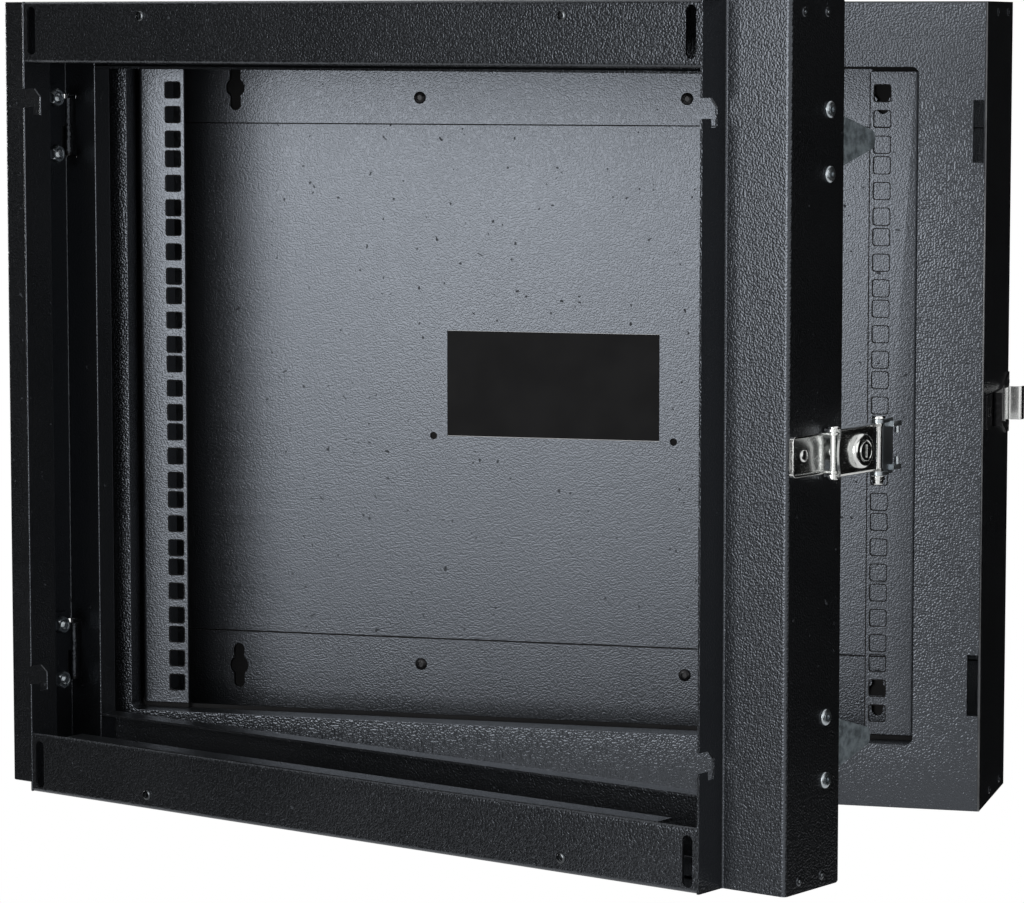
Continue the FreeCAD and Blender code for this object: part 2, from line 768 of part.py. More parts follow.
def frame_rivet_spots():
    """Rivets of the corner gussets, as depth and height."""
    depths = (rear_y - rivet_back, rear_y - rivet_back - rivet_step)
    return [(y, sz * (half_height - rivet_edge)) for sz in (-1, 1) for y in depths]


def tray_rivet_spots():
    """Depths of the two rivets that hold the hasp's tray."""
    first = flange_y + tray_rivet_in
    return (first, first + tray_rivet_step)


def stiles():
    """The two folded uprights, with their hooked notches and holes."""
    for side, sign in SIDES:
        body = new_body("stile_%s_sheet" % side)
        box = flange if sign < 0 else free_flange
        corners = [(box, front_y), (box, flange_y), (Dim.of(0), flange_y), (Dim.of(0), rear_y),
                   (rear_flange, rear_y), (rear_flange, rear_y - rear_lip),
                   (rear_flange - sheet_gauge, rear_y - rear_lip),
                   (rear_flange - sheet_gauge, rear_y - sheet_gauge), (sheet_gauge, rear_y - sheet_gauge),
                   (sheet_gauge, flange_y + sheet_gauge), (box + sheet_gauge, flange_y + sheet_gauge),
                   (box + sheet_gauge, front_y)]
        corners = [(from_side(sign, x), y) for x, y in corners]
        fold(body, PLAN, corners, -half_height, height, [(1, 10), (9, 2), (8, 3), (7, 4)], sheet_gauge)
        low, high = span(sign, box - sheet_gauge, box + 2 * sheet_gauge)
        sketch = new_sketch(body, SIDE[0], low)
        for top in (hook_high, hook_low):
            back = front_y + hook_deep
            mouth = top - hook_mouth
            outline(sketch, [(front_y - sheet_gauge, top), (back - hook_ease, top), (back, top - hook_ease),
                             (back, mouth - hook_drop), (back - hook_leg, mouth - hook_drop),
                             (back - hook_leg, mouth), (front_y - sheet_gauge, mouth)])
        pocket(body, sketch, high - low)
        low, high = span(sign, -sheet_gauge, 2 * sheet_gauge)
        sketch = new_sketch(body, SIDE[0], low)
        for y, z in frame_bolt_spots():
            ring(sketch, y, z, bolt + 2 * play)
        for y, z in frame_rivet_spots():
            ring(sketch, y, z, rivet + 2 * play)
        if sign > 0:
            for y in tray_rivet_spots():
                ring(sketch, y, -hasp_drop, rivet + 2 * play)
        pocket(body, sketch, high - low)
        if sign < 0:
            sketch = new_sketch(body, SIDE[0], left_x - sheet_gauge)
            for level, sz in LEVELS:
                window(sketch, (-notch_run, rear_y + sheet_gauge),
                       (sz * catch_height - hinge_notch / 2, sz * catch_height + hinge_notch / 2))
            pocket(body, sketch, hinge_inset + sheet_gauge + notch_run)
        else:
            sketch = new_sketch(body, FRONT[0], -rear_y - sheet_gauge)
            half = tongue_base / 2 + tongue_slot_clear
            inner = from_side(sign, sheet_gauge + 2 * tongue_gauge + tongue_slot_clear)
            for level, sz in LEVELS:
                window(sketch, (inner, from_side(sign, sheet_gauge)),
                       (sz * catch_height - half, sz * catch_height + half))
            pocket(body, sketch, 3 * sheet_gauge)
        trims = []
        low, high = span(sign, -sheet_gauge, rear_flange + sheet_gauge)
        for level, sz in LEVELS:
            tag = "stile_%s_%s" % (side, level)
            middle = sz * (half_height - end_round)
            over = sz * (half_height + sheet_gauge)
            ends = (middle, over) if sz > 0 else (over, middle)
            corner = block(tag + "_corner", (low, high), (rear_y - end_round, rear_y + sheet_gauge), ends)
            curve = rod(tag + "_curve", low, rear_y - end_round, middle, 2 * end_round, high - low, ALONG_X)
            trims.append(minus(tag + "_trim", corner, [curve]))
        keep_on_swing(minus("stile_%s_trimmed" % side, body, trims), "stile_" + side)


def cross_rails():
    """Top and bottom lipped channels between the uprights."""
    for level, sign in LEVELS:
        body = new_body({"upper": "top_rail", "lower": "bottom_rail"}[level])
        edge = half_height - face_tall
        back = half_height - rear_tall
        corners = [(front_y + front_lip, edge), (front_y, edge), (front_y, half_height),
                   (rear_y, half_height), (rear_y, back), (rear_y - rear_lip, back),
                   (rear_y - rear_lip, back + sheet_gauge), (rear_y - sheet_gauge, back + sheet_gauge),
                   (rear_y - sheet_gauge, half_height - sheet_gauge),
                   (front_y + sheet_gauge, half_height - sheet_gauge),
                   (front_y + sheet_gauge, edge + sheet_gauge), (front_y + front_lip, edge + sheet_gauge)]
        corners = [(y, sign * z) for y, z in corners]
        fold(body, SIDE, corners, box_left, box_right - box_left,
             [(10, 1), (9, 2), (8, 3), (7, 4)], sheet_gauge)
        base = sign * (edge + (sheet_gauge + bend) / 2) - (sheet_gauge + bend) / 2
        sketch = new_sketch(body, PLAN[0], base)
        for side, sx in SIDES:
            inset = flange if sx < 0 else free_flange
            window(sketch, span(sx, inset, inset + lip_end),
                   (front_y + sheet_gauge, front_y + front_lip + sheet_gauge))
        pocket(body, sketch, sheet_gauge + bend)
        sketch = new_sketch(body, FRONT[0], -front_y - 2 * sheet_gauge)
        slots = []
        middle = sign * (half_height - face_slot_edge - face_slot_tall / 2)
        for side, sx in SIDES:
            inset = (flange if sx < 0 else free_flange) + face_slot_in
            x = span(sx, inset - face_slot / 2, inset + face_slot / 2)
            z = (middle - face_slot_tall / 2, middle + face_slot_tall / 2)
            window(sketch, x, z)
            slots += [(a, b) for a in x for b in z]
        for side, sx in SIDES:
            ring(sketch, middle_x + sx * face_screw_half, sign * (half_height - face_screw_in),
                 face_screw + 2 * play)
        pocket(body, sketch, 3 * sheet_gauge)
        round_edges(body, FRONT[1], slots, face_slot / 2 - play)
        keep_on_swing(body, body.Name)


def gussets():
    """Four angle gussets that rivet the uprights' ends to the cross rails."""
    for side, sx in SIDES:
        for level, sz in LEVELS:
            body = new_body("gusset_%s_%s" % (level, side))
            top = half_height - sheet_gauge
            corners = [(sheet_gauge, top), (gusset_reach, top), (gusset_reach, top - sheet_gauge),
                       (2 * sheet_gauge, top - sheet_gauge), (2 * sheet_gauge, top - gusset_tab),
                       (sheet_gauge, top - gusset_tab)]
            corners = [(from_side(sx, x), sz * z) for x, z in corners]
            fold(body, FRONT, corners, gusset_back - rear_y, gusset_run, [(3, 0)], sheet_gauge)
            low, high = span(sx, 0, 3 * sheet_gauge)
            sketch = new_sketch(body, SIDE[0], low)
            for y, z in frame_rivet_spots():
                if z.value * sz > 0:
                    ring(sketch, y, z, rivet + 2 * play)
            pocket(body, sketch, high - low)
            keep_on_swing(body, body.Name)


def stud(name, sign, y, z, head, head_tall, shank, run):
    """A headed fastener set from outside through the left or right face of the frame."""
    out = from_side(sign, -head_tall) if sign < 0 else right_x
    thing = rod(name + "_head", out, y, z, head, head_tall, ALONG_X)
    start = left_x if sign < 0 else right_x - run
    return join(name, [thing, rod(name + "_shank", start, y, z, shank, run, ALONG_X)])


def frame_fasteners():
    """Bolts with nuts, corner rivets and face screws of the swing frame."""
    bolts = []
    nuts = []
    for side, sign in SIDES:
        held = sheet_gauge + (plate_gauge if sign < 0 else tongue_gauge)
        for y, z in frame_bolt_spots():
            tag = "frame_bolt_%d" % len(bolts)
            bolts.append(stud(tag, sign, y, z, bolt_head, bolt_head_tall, bolt,
                              held + nut_tall + bolt_past_nut))
            low, high = span(sign, held, held + nut_tall)
            nuts.append(nut("frame_nut_%d" % len(nuts), low, y, z))
    keep_on_swing(group("frame_bolts", bolts), "frame_bolts")
    keep_on_swing(group("frame_nuts", nuts), "frame_nuts")
    rivets = []
    for side, sign in SIDES:
        for y, z in frame_rivet_spots():
            rivets.append(stud("frame_rivet_%d" % len(rivets), sign, y, z, rivet_head, rivet_head_tall,
                               rivet, 2 * sheet_gauge + rivet_head_tall))
    keep_on_swing(group("frame_rivets", rivets), "frame_rivets")
    screws = []
    for side, sx in SIDES:
        for level, sz in LEVELS:
            tag = "face_screw_%s_%s" % (side, level)
            x = middle_x + sx * face_screw_half
            z = sz * (half_height - face_screw_in)
            head = rod(tag + "_head", x, front_y - face_screw_head_tall, z, face_screw_head,
                       face_screw_head_tall, ALONG_Y)
            shank = rod(tag + "_shank", x, front_y - face_screw_head_tall, z, face_screw,
                        face_screw_head_tall + face_screw_long, ALONG_Y)
            screws.append(join(tag, [head, shank]))
    keep_on_swing(group("face_screws", screws), "face_screws")


def tongues():
    """Joggled, tapered plates on the free side that enter the wall box's slots."""
    outer = from_side(1, sheet_gauge)
    middle = outer - tongue_gauge
    inner = middle - tongue_gauge
    start = rear_y - tongue_in
    shoulder = rear_y - tongue_shy
    tip = rear_y + tongue_reach
    for level, sign in LEVELS:
        centre = sign * catch_height
        body = new_body("tongue_" + level)
        sketch = new_sketch(body, PLAN[0], centre - leaf_tall / 2)
        outline(sketch, [(outer, start), (outer, shoulder), (middle, shoulder), (middle, tip), (inner, tip),
                         (inner, shoulder - tongue_lap), (middle, shoulder - tongue_lap), (middle, start)])
        pad(body, sketch, leaf_tall)
        sketch = new_sketch(body, SIDE[0], inner - play)
        for turn in (-1, 1):
            far = centre + turn * (leaf_tall / 2 + play)
            outline(sketch, [(shoulder, far), (shoulder, centre + turn * tongue_base / 2),
                             (tip, centre + turn * tongue_tip / 2),
                             (tip + play, centre + turn * tongue_tip / 2), (tip + play, far)])
            ring(sketch, bolt_y, centre + turn * bolt_spread, bolt + 2 * play)
        pocket(body, sketch, 2 * tongue_gauge + 2 * play)
        round_edges(body, SIDE[1], [(tip, centre + turn * tongue_tip / 2) for turn in (-1, 1)],
                    tongue_tip_round)
        keep_on_swing(body, "tongue_" + level)


def hasp():
    """The keyed hasp on the free side: tray, lever, lock, rod and fork."""
    wall = right_x
    pivot = (wall + pivot_high, rear_y - pivot_back)
    hook = (wall + rod_high, hook_y)
    half_tray = tray_tall / 2
    half_lever = lever_tall / 2

    body = new_body("hasp_tray")
    near = flange_y + tray_front_gap
    sketch = new_sketch(body, SIDE[0], wall)
    window(sketch, (near, near + tray_run), (-half_tray, half_tray))
    pad(body, sketch, tray_rim)
    round_edges(body, SIDE[1], [(y, sz * half_tray) for y in (near, near + tray_run) for sz in (-1, 1)],
                tray_round)
    sketch = new_sketch(body, SIDE[0], wall + tray_gauge)
    window(sketch, (near + tray_gauge, near + tray_run - tray_gauge),
           (tray_gauge - half_tray, half_tray - tray_gauge))
    pocket(body, sketch, tray_rim)
    for base in (-half_tray, half_tray - tray_gauge):
        sketch = new_sketch(body, PLAN[0], base)
        window(sketch, (wall + tray_gauge, pivot[0]), (pivot[1] - ear_round, pivot[1] + ear_round))
        pad(body, sketch, tray_gauge)
        sketch = new_sketch(body, PLAN[0], base)
        ring(sketch, pivot[0], pivot[1], 2 * ear_round)
        pad(body, sketch, tray_gauge)
    sketch = new_sketch(body, PLAN[0], -half_tray - play)
    ring(sketch, pivot[0], pivot[1], pivot_pin + play)
    pocket(body, sketch, tray_tall + 2 * play)
    sketch = new_sketch(body, SIDE[0], wall - play)
    for y in tray_rivet_spots():
        ring(sketch, y, 0, rivet + 2 * play)
    pocket(body, sketch, tray_gauge + 2 * play)
    keep_on_swing(body, "hasp_tray", -hasp_drop)
    rivets = []
    for y in tray_rivet_spots():
        tag = "tray_rivet_%d" % len(rivets)
        head = rod(tag + "_head", wall + tray_gauge, y, 0, dome, dome_tall, ALONG_X)
        run = tray_gauge + sheet_gauge + dome_tall
        rivets.append(join(tag, [head, rod(tag + "_shank", wall + tray_gauge - run, y, 0, rivet, run + play,
                                           ALONG_X)]))
    keep_on_swing(group("tray_rivets", rivets), "tray_rivets", -hasp_drop)

    reach = half_lever + barrel_gap
    shaft = rod("hasp_pivot_shaft", pivot[0], pivot[1], -reach, pivot_pin, 2 * reach)
    heads = [rod("hasp_pivot_head_%d" % sz, pivot[0], pivot[1], sz * (reach + dome_tall / 2) - dome_tall / 2,
                 pivot_pin + 2 * dome_tall, dome_tall) for sz in (-1, 1)]
    keep_on_swing(join("hasp_pivot", [shaft] + heads), "hasp_pivot", -hasp_drop)

    body = new_body("hasp_lever_sheet")
    low = wall + lever_clear
    high = wall + lever_high
    corners = [(low, -half_lever), (high, -half_lever), (high, half_lever), (low, half_lever),
               (low, half_lever - lever_gauge), (high - lever_gauge, half_lever - lever_gauge),
               (high - lever_gauge, lever_gauge - half_lever), (low, lever_gauge - half_lever)]
    fold(body, FRONT, corners, -pivot[1] - lever_face_run, lever_face_run + lever_nose, [(6, 1), (5, 2)],
         lever_gauge)
    end = pivot[1] + lever_face_run
    for base in (-half_lever, half_lever - lever_gauge):
        sketch = new_sketch(body, PLAN[0], base)
        outline(sketch, [(low, end - lever_gauge), (high - bend - lever_gauge, end - lever_gauge),
                         (high - bend - lever_gauge, end), (hook[0] + rod_ear, hook[1]),
                         (hook[0] - rod_ear, hook[1]), (low, end)])
        pad(body, sketch, lever_gauge)
        for spot, across in ((hook, 2 * rod_ear), (pivot, 2 * (pivot_high - lever_clear))):
            sketch = new_sketch(body, PLAN[0], base)
            ring(sketch, spot[0], spot[1], across)
            pad(body, sketch, lever_gauge)
    sketch = new_sketch(body, PLAN[0], -half_lever - play)
    ring(sketch, pivot[0], pivot[1], pivot_pin + 2 * running)
    ring(sketch, hook[0], hook[1], rod_size + play)
    pocket(body, sketch, lever_tall + 2 * play)
    lock_y = rear_y + lock_back
    neck = (lock_round + plug_round) / 2
    sketch = new_sketch(body, SIDE[0], high - 2 * lever_gauge)
    ring(sketch, lock_y, 0, neck + 2 * play)
    pocket(body, sketch, 3 * lever_gauge)
    nose = pivot[1] - lever_nose
    bow = (half_lever * half_lever + lever_nose * lever_nose) / (2 * lever_nose)
    web = (high - lever_gauge - bend, high + lever_gauge)
    tip = block("lever_tip", web, (nose - play, pivot[1]), (-lever_tall, lever_tall))
    curve = rod("lever_curve", web[0], nose + bow, 0, 2 * bow, web[1] - web[0], ALONG_X)
    lever = minus("hasp_lever_bowed", body, [minus("lever_tip_trim", tip, [curve])])
    keep_on_swing(lever, "hasp_lever", -hasp_drop)

    body = new_body("lock_housing")
    sketch = new_sketch(body, SIDE[0], high)
    ring(sketch, lock_y, 0, lock_round)
    pad(body, sketch, lock_proud)
    round_rim(body, SIDE[1], high + lock_proud, lock_round, lock_dome)
    sketch = new_sketch(body, SIDE[0], high - lock_inside)
    ring(sketch, lock_y, 0, neck)
    pad(body, sketch, lock_inside + play)
    sketch = new_sketch(body, SIDE[0], high - 2 * lock_inside)
    ring(sketch, lock_y, 0, plug_round + 2 * running)
    pocket(body, sketch, 2 * lock_inside + 2 * lock_proud)
    keep_on_swing(body, "lock_housing", -hasp_drop)
    face = high + lock_proud + plug_proud
    core = rod("plug_core", high - lock_inside, lock_y, 0, plug_round, lock_inside + lock_proud + plug_proud,
               ALONG_X)
    slit = block("keyway", (face - keyway_deep, face + play),
                 (lock_y - keyway_wide / 2, lock_y + keyway_wide / 2), (-keyway_tall / 2, keyway_tall / 2))
    keep_on_swing(minus("lock_plug", core, [slit]), "lock_plug", -hasp_drop)

    arm_low = half_lever + fork_side_gap
    arm_high = arm_low + fork_gauge
    top = arm_high + barrel_gap
    shaft = rod("hasp_rod_shaft", hook[0], hook[1], -top, rod_size, 2 * top)
    head = rod("hasp_rod_head", hook[0], hook[1], top, rod_head, rod_head_tall)
    lower = rod("hasp_rod_foot", hook[0], hook[1], -top - rod_foot_tall, rod_head, rod_foot_tall)
    keep_on_swing(join("hasp_rod", [shaft, head, lower]), "hasp_rod", -hasp_drop)
    start = hook[1] + fork_plate_start
    end = hook[1] + fork_plate_end
    reach = hook[1] + fork_reach
    finger_low = keeper_tall / 2 + fork_side_gap
    finger_high = finger_low + fork_finger_tall
    pieces = [block("fork_plate", (hook[0] - lever_gauge / 2, hook[0] + lever_gauge / 2), (start, end),
                    (-arm_high, arm_high))]
    for sz in (-1, 1):
        base = sz * (arm_low + fork_gauge / 2) - fork_gauge / 2
        pieces.append(block("fork_arm_%d" % sz, (hook[0] - fork_wide / 2, hook[0] + fork_wide / 2),
                            (hook[1], start + fork_gauge), (base, base + fork_gauge)))
        pieces.append(rod("fork_hub_%d" % sz, hook[0], hook[1], base, fork_wide, fork_gauge))
        base = sz * (finger_low + fork_finger_tall / 2) - fork_finger_tall / 2
        pieces.append(block("fork_finger_%d" % sz, (hook[0] - fork_finger / 2, hook[0] + fork_finger / 2),
                            (end - fork_gauge, reach), (base, base + fork_finger_tall)))
        pieces.append(rod("fork_end_%d" % sz, hook[0], reach, base, fork_finger, fork_finger_tall))
        base = sz * (finger_high - fork_peg_long / 2) - fork_peg_long / 2
        pieces.append(rod("fork_peg_%d" % sz, hook[0], reach, base, fork_peg, fork_peg_long))
    bore = rod("fork_bore", hook[0], hook[1], -2 * arm_high, rod_size + 2 * running, 4 * arm_high)
    keep_on_swing(minus("hasp_fork", join("fork_solid", pieces), [bore]), "hasp_fork", -hasp_drop)


def keeper():
    """The lipped catch on the wall box's right face, with its tab, wear plate and rivets."""
    body = new_body("keeper")
    wall = half_width
    front = keeper_front
    back = face_y + keeper_back
    top = wall + keeper_post
    seat = wall + keeper_gauge
    corners = [(wall + keeper_lip, front), (wall, front), (wall, back), (seat, back),
               (seat, front + keeper_gauge), (wall + keeper_lip, front + keeper_gauge)]
    fold(body, PLAN, corners, -keeper_tall / 2, keeper_tall, [(4, 1)], keeper_gauge)
    foot = back + keeper_foot
    narrow = back - keeper_gauge - keeper_flare_run
    sketch = new_sketch(body, SIDE[0], wall)
    outline(sketch, [(narrow, -keeper_tall / 2), (back, -keeper_flare / 2), (foot, -keeper_flare / 2),
                     (foot, keeper_flare / 2), (back, keeper_flare / 2), (narrow, keeper_tall / 2)])
    pad(body, sketch, keeper_gauge)
    sketch = new_sketch(body, SIDE[0], wall - play)
    for y, z, lift in keeper_rivet_spots()[:2]:
        ring(sketch, y, z, rivet + 2 * play)
    pocket(body, sketch, keeper_gauge + 2 * play)
    bind(body, "Placement.Base.z", -hasp_drop)
    keep(body, "keeper")
    body = new_body("keeper_tab")
    heel = back - keeper_tab_foot
    corners = [(seat, heel), (seat, back), (top - keeper_gauge, back),
               (top - keeper_gauge, back + keeper_curl), (top, back + keeper_curl),
               (top, back - keeper_gauge), (seat + keeper_gauge, back - keeper_gauge),
               (seat + keeper_gauge, heel)]
    fold(body, PLAN, corners, -keeper_tall / 2, keeper_tall, [(6, 1), (2, 5)], keeper_gauge)
    bind(body, "Placement.Base.z", -hasp_drop)
    keep(body, "keeper_tab")
    body = new_body("keeper_wear_plate")
    start = face_y + wear_front
    sketch = new_sketch(body, SIDE[0], wall)
    window(sketch, (start, start + wear_run), (-keeper_tall / 2, keeper_tall / 2))
    for y, z, lift in keeper_rivet_spots()[2:]:
        ring(sketch, y, z, rivet + 2 * play)
    pad(body, sketch, wear_gauge)
    corners = [(y, sz * keeper_tall / 2) for y in (start, start + wear_run) for sz in (-1, 1)]
    round_edges(body, SIDE[1], corners, tray_round)
    bind(body, "Placement.Base.z", -hasp_drop)
    keep(body, "keeper_wear_plate")
    rivets = []
    for y, z, lift in keeper_rivet_spots():
        tag = "keeper_rivet_%d" % len(rivets)
        head = rod(tag + "_head", wall + lift, y, z, rivet_head, rivet_head_tall, ALONG_X)
        shank = rod(tag + "_shank", inside_x - rivet_head_tall, y, z, rivet,
                    rivet_head_tall + sheet_gauge + lift + play, ALONG_X)
        rivets.append(join(tag, [head, shank]))
    rivets = group("keeper_rivets", rivets)
    bind(rivets, "Placement.Base.z", -hasp_drop)
    keep(rivets, "keeper_rivets")


def write_parts():
    """Check every object and write each piece to its own file."""
    doc.recompute()
    faults = [thing.Name for thing in doc.Objects if "Invalid" in thing.State or "Error" in thing.State]
    for node in nodes:
        if node.Shape.isNull() or not node.Shape.isValid() or not node.Shape.Solids:
            faults.append(node.Label)
    if faults:
        raise RuntimeError("failed pieces: " + ", ".join(faults))
    os.makedirs("parts", exist_ok=True)
    for node in nodes:
        node.Shape.exportStep(os.path.join("parts", node.Label + ".step"))
        print(node.Label, len(node.Shape.Solids), round(node.Shape.Volume, 1))


wall_box()
equipment_rails()
hinges()
stiles()
cross_rails()
gussets()
frame_fasteners()
tongues()
hasp()
keeper()
write_parts()
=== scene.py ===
"""Looks of the swing-out wall rack: finishes, small hardware, studio and camera.

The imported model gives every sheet, rail and catch its place. This script gives
each of them a worked-out finish, swaps plain fasteners for shaped ones, and sets
up a plain studio with the camera where the photograph was taken.
"""
from __future__ import annotations

import json
import logging
import math
from dataclasses import dataclass
from enum import Enum
from typing import Any, ClassVar, Optional, Sequence, Union

import bmesh
import bpy
import numpy as np
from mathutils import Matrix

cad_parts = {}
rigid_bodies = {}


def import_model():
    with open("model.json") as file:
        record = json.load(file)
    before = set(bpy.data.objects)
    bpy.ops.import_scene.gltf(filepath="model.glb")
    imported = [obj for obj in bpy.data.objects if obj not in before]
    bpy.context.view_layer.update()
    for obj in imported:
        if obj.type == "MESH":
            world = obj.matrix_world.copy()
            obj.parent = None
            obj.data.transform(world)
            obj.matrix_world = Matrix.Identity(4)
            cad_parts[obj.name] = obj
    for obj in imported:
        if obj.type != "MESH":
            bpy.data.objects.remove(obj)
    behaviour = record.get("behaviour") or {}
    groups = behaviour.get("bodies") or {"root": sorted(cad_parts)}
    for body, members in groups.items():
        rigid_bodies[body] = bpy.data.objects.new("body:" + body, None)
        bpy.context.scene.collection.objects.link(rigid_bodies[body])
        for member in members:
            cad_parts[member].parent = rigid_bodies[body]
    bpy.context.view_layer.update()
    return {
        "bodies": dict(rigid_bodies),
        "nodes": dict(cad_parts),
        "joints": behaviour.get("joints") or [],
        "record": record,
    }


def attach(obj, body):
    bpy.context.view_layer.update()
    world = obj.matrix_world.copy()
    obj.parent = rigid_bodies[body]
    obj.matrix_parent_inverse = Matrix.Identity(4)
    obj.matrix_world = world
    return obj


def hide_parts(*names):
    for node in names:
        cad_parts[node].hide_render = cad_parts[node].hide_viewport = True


LOG = logging.getLogger("swing_rack")

# Sizes are drawn in millimetres and become metres in the meshes.
MM = 0.001

# Points round a section, unless a shape asks for another number.
ROUND = 48

# How near the corners of loose triangles are merged, and the angles at which faces
# count as one flat, an edge stays sharp, and an arris is broken.
MERGE = 0.001 * MM
FLAT = math.radians(0.5)
CREASE = math.radians(35.0)
ARRIS = math.radians(40.0)
ARRIS_STEPS = 2

# Signs of mirrored places, directions in the rack's frame, and the rise from which a
# direction counts as upright.
BOTH = (-1, 1)
LEFT, RIGHT, FRONT, BACK, UP = (-1, 0, 0), (1, 0, 0), (0, -1, 0), (0, 1, 0), (0, 0, 1)
UPRIGHT = 0.9

# Range over which cloudy noise goes from one tone to the other, and octaves and weight
# of the finer lumps in the mottling of metal.
CLOUDY = (0.3, 0.7)
MOTTLED = (3.0, 0.6)
WHITE = (1.0, 1.0, 1.0)

Colour = tuple[float, float, float]
Pair = tuple[float, float]
Point = tuple[float, float, float]

# A ring of a profile: radius, height and, where it is six-sided, its hexagon share.
Ring = Union[Pair, Point]

# A rivet: radius and height of its head, and length of its shank.
Rivet = tuple[float, float, float]

Number = Union["Wire", float]
Owner = Union[bpy.types.Material, bpy.types.World]


class Body(Enum):
    """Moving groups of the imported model."""

    WALL = "wall_box"
    FRAME = "swing_frame"
    ARM = "hasp_arm"
    CORE = "lock_core"
    FORK = "fork"


class Slot(Enum):
    """Finish slots of the record."""

    COAT = "black_powder"
    ZINC = "zinc_steel"
    CHROME = "bright_chrome"
    BLANK = "black_blank"
    OXIDE = "black_screw"


@dataclass(frozen=True)
class Wire:
    """An output socket of a graph that can be used in Python arithmetic."""

    graph: "Graph"
    socket: bpy.types.NodeSocket

    def _maths(self, operation: str, *values: Number) -> "Wire":
        """Result of a new Math node of that operation, with its inputs in order."""
        inputs = dict(enumerate(values))
        return self.graph.node("ShaderNodeMath", {"operation": operation}, inputs)["Value"]

    def __add__(self, other: Number) -> "Wire":
        """Sum."""
        return self._maths("ADD", self, other)

    def __radd__(self, other: float) -> "Wire":
        """Sum with a number on the left."""
        return self._maths("ADD", other, self)

    def __sub__(self, other: Number) -> "Wire":
        """Difference."""
        return self._maths("SUBTRACT", self, other)

    def __rsub__(self, other: float) -> "Wire":
        """Difference from a number on the left."""
        return self._maths("SUBTRACT", other, self)

    def __mul__(self, other: Number) -> "Wire":
        """Product."""
        return self._maths("MULTIPLY", self, other)

    def __rmul__(self, other: float) -> "Wire":
        """Product with a number on the left."""
        return self._maths("MULTIPLY", other, self)

    def between(self, low: float, high: float) -> "Wire":
        """Stretch a range to run smoothly from nought to one.

        Args:
            low: Value that becomes nought.
            high: Value that becomes one.

        Returns:
            The stretched and clamped value.
        """
        settings = {"interpolation_type": "SMOOTHSTEP"}
        inputs = {"Value": self, "From Min": low, "From Max": high}
        return self.graph.node("ShaderNodeMapRange", settings, inputs)["Result"]


@dataclass(frozen=True)
class Made:
    """A new node of a graph, whose outputs are read by name or number."""

    graph: "Graph"
    node: bpy.types.Node

    def __getitem__(self, name: Union[str, int]) -> Wire:
        """Output of that name or number."""
        return Wire(self.graph, self.node.outputs[name])


class Graph:
    """The node tree of a material or world."""

    def __init__(self, owner: Owner) -> None:
        """Start an empty tree.

        Args:
            owner: Material or world that the tree belongs to.
        """
        owner.use_nodes = True
        self.owner = owner
        self.tree = owner.node_tree
        self.tree.nodes.clear()

    @classmethod
    def material(cls, name: str) -> "Graph":
        """Start an empty tree on a new material."""
        return cls(bpy.data.materials.new(name))

    def node(self, kind: str, settings: Optional[dict[str, Any]] = None,
             inputs: Optional[dict[Union[str, int], Any]] = None) -> Made:
        """Add any node.

        Args:
            kind: Node type.
            settings: Node properties, set first.
            inputs: Values or wires by socket name or number.

        Returns:
            The new node.
        """
        node = self.tree.nodes.new(kind)
        for name, value in (settings or {}).items():
            setattr(node, name, value)
        for name, value in (inputs or {}).items():
            socket = node.inputs[name]
            if isinstance(value, Wire):
                self.tree.links.new(value.socket, socket)
            elif socket.type == "RGBA":
                socket.default_value = (*value, 1.0)
            else:
                socket.default_value = value
        return Made(self, node)

    def place(self) -> Wire:
        """Object coordinates in metres."""
        return self.node("ShaderNodeTexCoord")["Object"]

    def noise(self, size: float, detail: float = 2.0, roughness: float = 0.5,
              place: Optional[Wire] = None) -> Wire:
        """Cloudy noise.

        Args:
            size: Width of one lump in metres.
            detail: Octaves of finer lumps.
            roughness: Weight of the finer lumps.
            place: Coordinates, or None for the object's own.

        Returns:
            Noise about one half.
        """
        inputs = {"Vector": place or self.place(), "Scale": 1.0 / size, "Detail": detail,
                  "Roughness": roughness}
        return self.node("ShaderNodeTexNoise", None, inputs)["Fac"]

    def streaks(self, scale: Point, detail: float, roughness: float) -> Wire:
        """Noise drawn out along the axes, with so many lumps to the metre along each."""
        drawn = self.node("ShaderNodeMapping", None, {"Vector": self.place(), "Scale": scale})["Vector"]
        return self.noise(1.0, detail, roughness, drawn)

    def blend(self, factor: Number, first: Colour, second: Colour) -> Wire:
        """Mix two colours; the node's sockets share names between types, so colours go by number."""
        inputs = {"Factor": factor, 6: first, 7: second}
        return self.node("ShaderNodeMix", {"data_type": "RGBA"}, inputs)[2]

    def bump(self, height: Wire, depth: float, strength: float) -> Wire:
        """Normal bent by a relief from nought to one, with its depth in metres and the share used."""
        inputs = {"Height": height, "Distance": depth, "Strength": strength}
        return self.node("ShaderNodeBump", None, inputs)["Normal"]

    def seen(self) -> Wire:
        """One for rays that show a surface to the eye, straight, mirrored or through glass."""
        path = self.node("ShaderNodeLightPath")
        return path["Is Camera Ray"] + path["Is Glossy Ray"] + path["Is Transmission Ray"]

    def surface(self, inputs: dict[str, Any]) -> bpy.types.Material:
        """Close the tree with one physically based surface.

        Args:
            inputs: Values or wires of the surface, by socket name.

        Returns:
            The finished material.
        """
        shader = self.node("ShaderNodeBsdfPrincipled", None, inputs)["BSDF"]
        self.node("ShaderNodeOutputMaterial", None, {"Surface": shader})
        return self.owner


